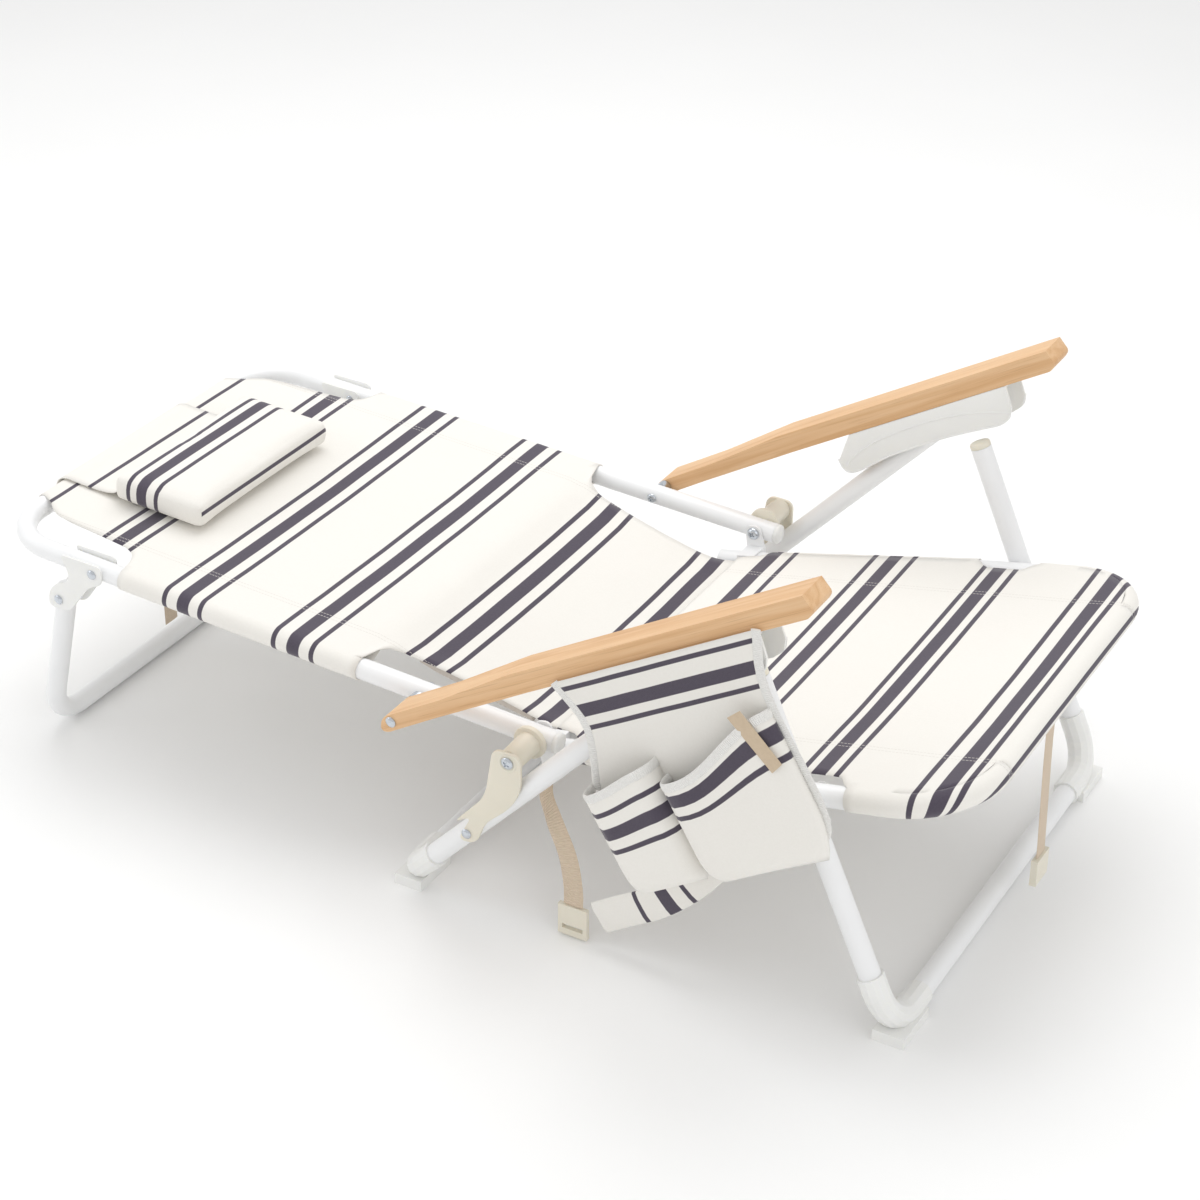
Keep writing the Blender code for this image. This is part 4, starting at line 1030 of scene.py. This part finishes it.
seat_bands = [(c, 0.0065) for c in (-0.2770, -0.1720, -0.1210, -0.0260, 0.0150, 0.1110,
                                    0.1565, 0.1890)]
seat_bands += [(c, 0.0170) for c in (-0.3030, -0.1460, -0.0060, 0.1380)]
seat_canvas = striped_canvas("seat_canvas", seat_bands, seams=(0.186, 0.180))
seat_cover = finish_cloth("seat_canvas_panel", [seat_panel]
    + [rail_tunnel(-0.302, -0.042, s) for s in (1, -1)]
    + [rail_tunnel(0.036, 0.083, s) for s in (1, -1)]
    + [corner_tunnel(s) for s in (1, -1)], seat_canvas, "seat")
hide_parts("seat_sling")

# ---- bindings and webbing -----------------------------------------------------------
# Ribbed white tape binds the cut edges, and flat cotton webbing carries the chair.


def webbing_cloth(name, colour, dark, rib):
    """Woven tape with cross ribs along its length."""
    mat = bpy.data.materials.new(name)
    mat.use_nodes = True
    tree = mat.node_tree
    shader = tree.nodes["Principled BSDF"]
    shader.inputs["Roughness"].default_value = 0.82
    shader.inputs["Sheen Weight"].default_value = 0.2
    run = tree.nodes.new("ShaderNodeAttribute")
    run.attribute_name = "along"
    ribs = tree.nodes.new("ShaderNodeMath")
    ribs.operation = "MULTIPLY"
    ribs.inputs[1].default_value = 2 * math.pi / rib
    tree.links.new(run.outputs["Fac"], ribs.inputs[0])
    wave = tree.nodes.new("ShaderNodeMath")
    wave.operation = "SINE"
    tree.links.new(ribs.outputs["Value"], wave.inputs[0])
    coords = tree.nodes.new("ShaderNodeTexCoord")
    fuzz = tree.nodes.new("ShaderNodeTexNoise")
    fuzz.inputs["Scale"].default_value = 300.0
    tree.links.new(coords.outputs["Object"], fuzz.inputs["Vector"])
    mix = tree.nodes.new("ShaderNodeMix")
    mix.data_type = "RGBA"
    mix.inputs["A"].default_value = (*dark, 1.0)
    mix.inputs["B"].default_value = (*colour, 1.0)
    tree.links.new(fuzz.outputs["Fac"], mix.inputs["Factor"])
    tree.links.new(mix.outputs["Result"], shader.inputs["Base Color"])
    relief = tree.nodes.new("ShaderNodeBump")
    relief.inputs["Strength"].default_value = 0.6
    relief.inputs["Distance"].default_value = 0.0006
    tree.links.new(wave.outputs["Value"], relief.inputs["Height"])
    tree.links.new(relief.outputs["Normal"], shader.inputs["Normal"])
    return mat


white_binding = webbing_cloth("white_binding", (0.90, 0.89, 0.86), (0.80, 0.79, 0.76), 0.0022)
cotton_tape = webbing_cloth("cotton_tape", (0.73, 0.60, 0.46), (0.61, 0.49, 0.36), 0.0030)
pad_cloth = webbing_cloth("pad_cloth", (0.66, 0.60, 0.54), (0.58, 0.52, 0.46), 0.0030)
tag_cloth = webbing_cloth("tag_cloth", (0.62, 0.50, 0.36), (0.55, 0.43, 0.30), 0.0016)

# ---- pillow and its flap ------------------------------------------------------------
# A stuffed pillow lies near the head; its flap goes over the top bar.


def slot_map(bm, place):
    """Write the cloth map from a rule on each face: place(spot, normal) gives the pair."""
    uv = bm.loops.layers.uv.new("cloth")
    bm.normal_update()
    for face in bm.faces:
        for loop in face.loops:
            loop[uv].uv = place(loop.vert.co, face.normal)


def plump(obj, size=0.006, pressure=4.0, cap=0.012):
    """Even out the skin, then let it swell under inner pressure for a moment."""
    remesh = obj.modifiers.new("even", "REMESH")
    remesh.mode = "VOXEL"
    remesh.voxel_size = size
    bpy.context.view_layer.update()
    graph = bpy.context.evaluated_depsgraph_get()
    even = bpy.data.meshes.new_from_object(obj.evaluated_get(graph))
    obj.modifiers.clear()
    obj.data = even
    before = [v.co.copy() for v in obj.data.vertices]
    cloth = obj.modifiers.new("cloth", "CLOTH")
    cloth.settings.use_pressure = True
    cloth.settings.uniform_pressure_force = pressure
    cloth.settings.effector_weights.gravity = 0.0
    cloth.settings.tension_stiffness = 25.0
    cloth.settings.compression_stiffness = 25.0
    cloth.settings.bending_stiffness = 1.0
    scene = bpy.context.scene
    for step in range(1, 21):
        scene.frame_set(step)
    graph = bpy.context.evaluated_depsgraph_get()
    soft = bpy.data.meshes.new_from_object(obj.evaluated_get(graph))
    obj.modifiers.clear()
    for v, start in zip(soft.vertices, before):
        moved = v.co - start
        if moved.length > cap:
            v.co = start + moved.normalized() * cap
    obj.data = soft
    scene.frame_set(1)
    return obj


pillow_bm = bmesh.new()
bmesh.ops.create_cube(pillow_bm, size=1.0)
bmesh.ops.transform(pillow_bm, verts=pillow_bm.verts, matrix=Matrix.LocRotScale(
    Vector((-0.610, -0.022, 0.0355)), None, Vector((0.134, 0.278, 0.032))))
bmesh.ops.bevel(pillow_bm, geom=pillow_bm.edges, offset=0.006, segments=3, affect="EDGES")
pillow = piece("pillow_skin", pillow_bm, cotton_tape, None, smooth=70.0)
plump(pillow, 0.006, 4.0, 0.004)


def pillow_place(spot, normal):
    """Distance along the pillow's stripes; the seat-side face continues downwards."""
    extra = (0.0515 - spot.z) if normal.x > 0.6 else 0.0
    return spot.y, spot.x + extra


pillow_bm = bmesh.new()
pillow_bm.from_mesh(pillow.data)
slot_map(pillow_bm, pillow_place)
bmesh.ops.transform(pillow_bm, verts=pillow_bm.verts, matrix=BACK)
pillow_bm.to_mesh(pillow.data)
pillow_bm.free()
pillow_canvas = striped_canvas("pillow_canvas", [
    (-0.6540, 0.0060), (-0.6340, 0.0150), (-0.6120, 0.0060),
    (-0.5340, 0.0060), (-0.5120, 0.0060)])
pillow.data.materials.clear()
pillow.data.materials.append(pillow_canvas)
pillow.data.shade_smooth()
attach(pillow, "back")
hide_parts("pillow")

flap_line = eased([(x, 0.0, z) for x, z in (
    (-0.675, 0.0290), (-0.686, 0.0215), (-0.706, 0.0180), (-0.742, 0.0178), (-0.758, 0.0182),
    (-0.7712, 0.0126), (-0.7765, 0.0), (-0.7770, -0.0150), (-0.7770, -0.0330))], 6)
flap_run = [0.0]
for a, b in zip(flap_line, flap_line[1:]):
    flap_run.append(flap_run[-1] + (b - a).length)


def flap_place(y, v):
    """Spot of the flap at a run from its seam at the pillow."""
    i = min(range(len(flap_run)), key=lambda k: abs(flap_run[k] - v))
    spot = flap_line[i]
    return BACK @ Vector((spot.x, y, spot.z + creases(spot.x, y, 21.0, 0.0008)))


flap_canvas = striped_canvas("flap_canvas", [(0.0500, 0.0060)])
pillow_flap = finish_cloth("pillow_flap_cloth", [
    cloth_grid(spread(-0.148, 0.092, 0.012), flap_run, flap_place)], flap_canvas, "back", 0.0010)
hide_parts("pillow_flap")

# ---- organiser ----------------------------------------------------------------------
# A canvas panel hangs under the near arm with two open pockets, bound in white tape. The
# blank tag is sewn beside the larger pocket.
LEFT_EDGE = [(0.002, 0.245), (0.060, 0.258), (0.130, 0.232), (0.215, 0.238), (0.245, 0.244)]
RIGHT_EDGE = [(0.002, 0.513), (0.070, 0.490), (0.215, 0.488), (0.245, 0.452)]


def panel_place(u, d):
    """Spot of the panel at a share across and a drop below the arm."""
    left, right_s = between(LEFT_EDGE, d), between(RIGHT_EDGE, d)
    s = left + (right_s - left) * u
    y = -0.3437 + 0.0011 * noise.noise(Vector((s * 9.0, d * 9.0, 4.0)))
    return ARM @ Vector((s, y, -d))


organiser_canvas = striped_canvas("organiser_canvas", [
    (0.0120, 0.0055), (0.0400, 0.0150), (0.0605, 0.0055)])
panel_bm = cloth_grid(spread(0.0, 1.0, 0.04), spread(0.002, 0.245, 0.009), panel_place)
organiser_cloth = finish_cloth("organiser_cloth", [panel_bm], organiser_canvas, "arm_r", 0.0012)
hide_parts("organiser_panel")


def pocket(name, node, s0, s1, top, bottom, slope, mat):
    """An open pocket: the front bulges, the sides run back to the panel."""
    width = s1 - s0

    def rise(across):
        share = max(0.0, min(1.0, (across / width - 0.15) / 0.85))
        return slope * share * share * (3 - 2 * share)

    stations = ([(0.0, 0.0), (0.0, 0.35), (0.004, 0.72), (0.012, 0.94)]
                + [(t * width, 1.0) for t in spread(0.16, 0.84, 0.085)]
                + [(width - 0.012, 0.94), (width - 0.004, 0.72), (width, 0.35), (width, 0.0)])

    def place(index, d):
        across, out = stations[int(round(index))]
        drop = (d - top) / (bottom - top)
        depth = 0.0310 * (1.0 - max(0.0, (drop - 0.82) / 0.18) ** 2) ** 0.5 if drop < 1 else 0.0
        taper = 1.0 - 0.60 * (slope / 0.045) * (across / width)
        pinch = 1.0 - 0.20 * max(0.0, (drop - 0.66) / 0.34) ** 2
        s = s0 + width / 2 + (across - width / 2) * pinch
        fold = 0.0012 * noise.noise(Vector((s * 30.0, d * 14.0, s0)))
        return ARM @ Vector((s, -0.3455 - depth * out * taper - fold * out,
                             -(d - rise(across) * (1.0 - drop))))

    bm = cloth_grid([float(i) for i in range(len(stations))],
                    spread(top, bottom, 0.007), place)
    run = [0.0]
    for (a, oa), (b, ob) in zip(stations, stations[1:]):
        run.append(run[-1] + math.hypot(b - a, (ob - oa) * 0.031))
    remap(bm, lambda index, d: (run[int(round(index))], d))
    obj = finish_cloth(name, [bm], mat, "arm_r", 0.0012)
    rim = [ARM.inverted() @ place(float(i), top) for i in range(len(stations))]
    tape = piece(name + "_binding", swept(ARM, eased([tuple(p) for p in rim], 3), 0.0110,
                                          0.0040, (0.0, -1.0, 0.0), 12, 0.5),
                 white_binding, "arm_r")
    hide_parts(node)
    return obj, run[-1]


rear_canvas = striped_canvas("rear_pocket_canvas", [
    (0.1465, 0.0055), (0.1700, 0.0140), (0.1915, 0.0055)])
pocket_rear, rear_run = pocket(
    "rear_pocket_cloth", "pocket_rear", 0.228, 0.324, 0.127, 0.254, 0.014, rear_canvas)
front_canvas = striped_canvas("front_pocket_canvas", [(0.1500, 0.0140), (0.1700, 0.0055)])
pocket_front, front_run = pocket(
    "front_pocket_cloth", "pocket_front", 0.330, 0.486, 0.134, 0.259, 0.045, front_canvas)
for tape_name, edge in (("front_edge_tape", RIGHT_EDGE), ("rear_edge_tape", LEFT_EDGE[:3])):
    edge_line = [(s, -0.3440, -d) for d, s in edge]
    side_tape = piece(tape_name, swept(ARM, eased(edge_line, 5), 0.0110, 0.0034,
                                       (0.0, -1.0, 0.0), 12, 0.5), white_binding, "arm_r")
tag = moulding(ARM, [(0.4465, -0.078), (0.4650, -0.074), (0.4830, -0.140), (0.4670, -0.147)],
               -0.3632, -0.3624, 0.0003, 2)
tag_piece = piece("blank_tag", tag, tag_cloth, "arm_r")

# ---- shoulder straps ----------------------------------------------------------------
# Flat cotton webbing runs under the seat to a plastic buckle and a padded shoulder pad.


def strap(name, node, points, width, thick, body, mat, facing=(0.0, 1.0, 0.0)):
    """One length of tape along its route in side-frame metres."""
    line = eased(points, 6)
    bm = swept(GROUND, line, width, thick, facing, 12, 0.35)
    obj = piece(name, bm, mat, body)
    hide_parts(node)
    return obj


pad_canvas = striped_canvas("pad_canvas", [(0.0620, 0.0060), (0.1000, 0.0170),
                                           (0.1290, 0.0060)])
for tag_s, s in (("l", 1), ("r", -1)):
    webbing = strap("shoulder_webbing_" + tag_s, "strap_webbing_" + tag_s, [
        (0.2400, s * 0.2640, 0.1700), (0.2480, s * 0.2800, 0.1620),
        (0.2680, s * 0.2960, 0.1440), (0.2880, s * 0.3020, 0.1080),
        (0.2960, s * 0.3040, 0.0700), (0.2965, s * 0.3040, 0.0440)], 0.025, 0.0018, "seat",
        cotton_tape)
    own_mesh(webbing)
    pad = strap("shoulder_pad_" + tag_s, "strap_pad_" + tag_s, [
        (0.3300, s * 0.3030, 0.0400), (0.3600, s * 0.3020, 0.0600),
        (0.4000, s * 0.3000, 0.0860), (0.4400, s * 0.2960, 0.1240),
        (0.4720, s * 0.2860, 0.1660), (0.4900, s * 0.2740, 0.1930)], 0.040, 0.0080, "seat",
        pad_canvas)
    shades = pad.data.uv_layers.new(name="cloth").data
    runs = pad.data.attributes["along"].data
    for loop in pad.data.loops:
        shades[loop.index].uv = (0.0, runs[loop.vertex_index].value)
    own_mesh(pad)
strap("closing_webbing", "closure_webbing", [
    (0.7235, 0.0, 0.2740), (0.7240, 0.0, 0.2200), (0.7260, 0.0, 0.1500), (0.7280, 0.0, 0.0820)],
    0.025, 0.0016, "seat", cotton_tape, (1.0, 0.0, 0.0))
strap("head_tab", "head_tab_webbing", [
    (-0.4600, -0.045, 0.2660), (-0.4610, -0.045, 0.2000), (-0.4640, -0.045, 0.1200),
    (-0.4650, -0.045, 0.0480)], 0.025, 0.0016, body_of(frame["nodes"]["head_tab_webbing"])[0],
    cotton_tape, (1.0, 0.0, 0.0))
for node in ("strap_buckle_l", "strap_buckle_r", "closure_buckle"):
    plain(node, ivory_plastic)
plain("back_pouch", pad_cloth)
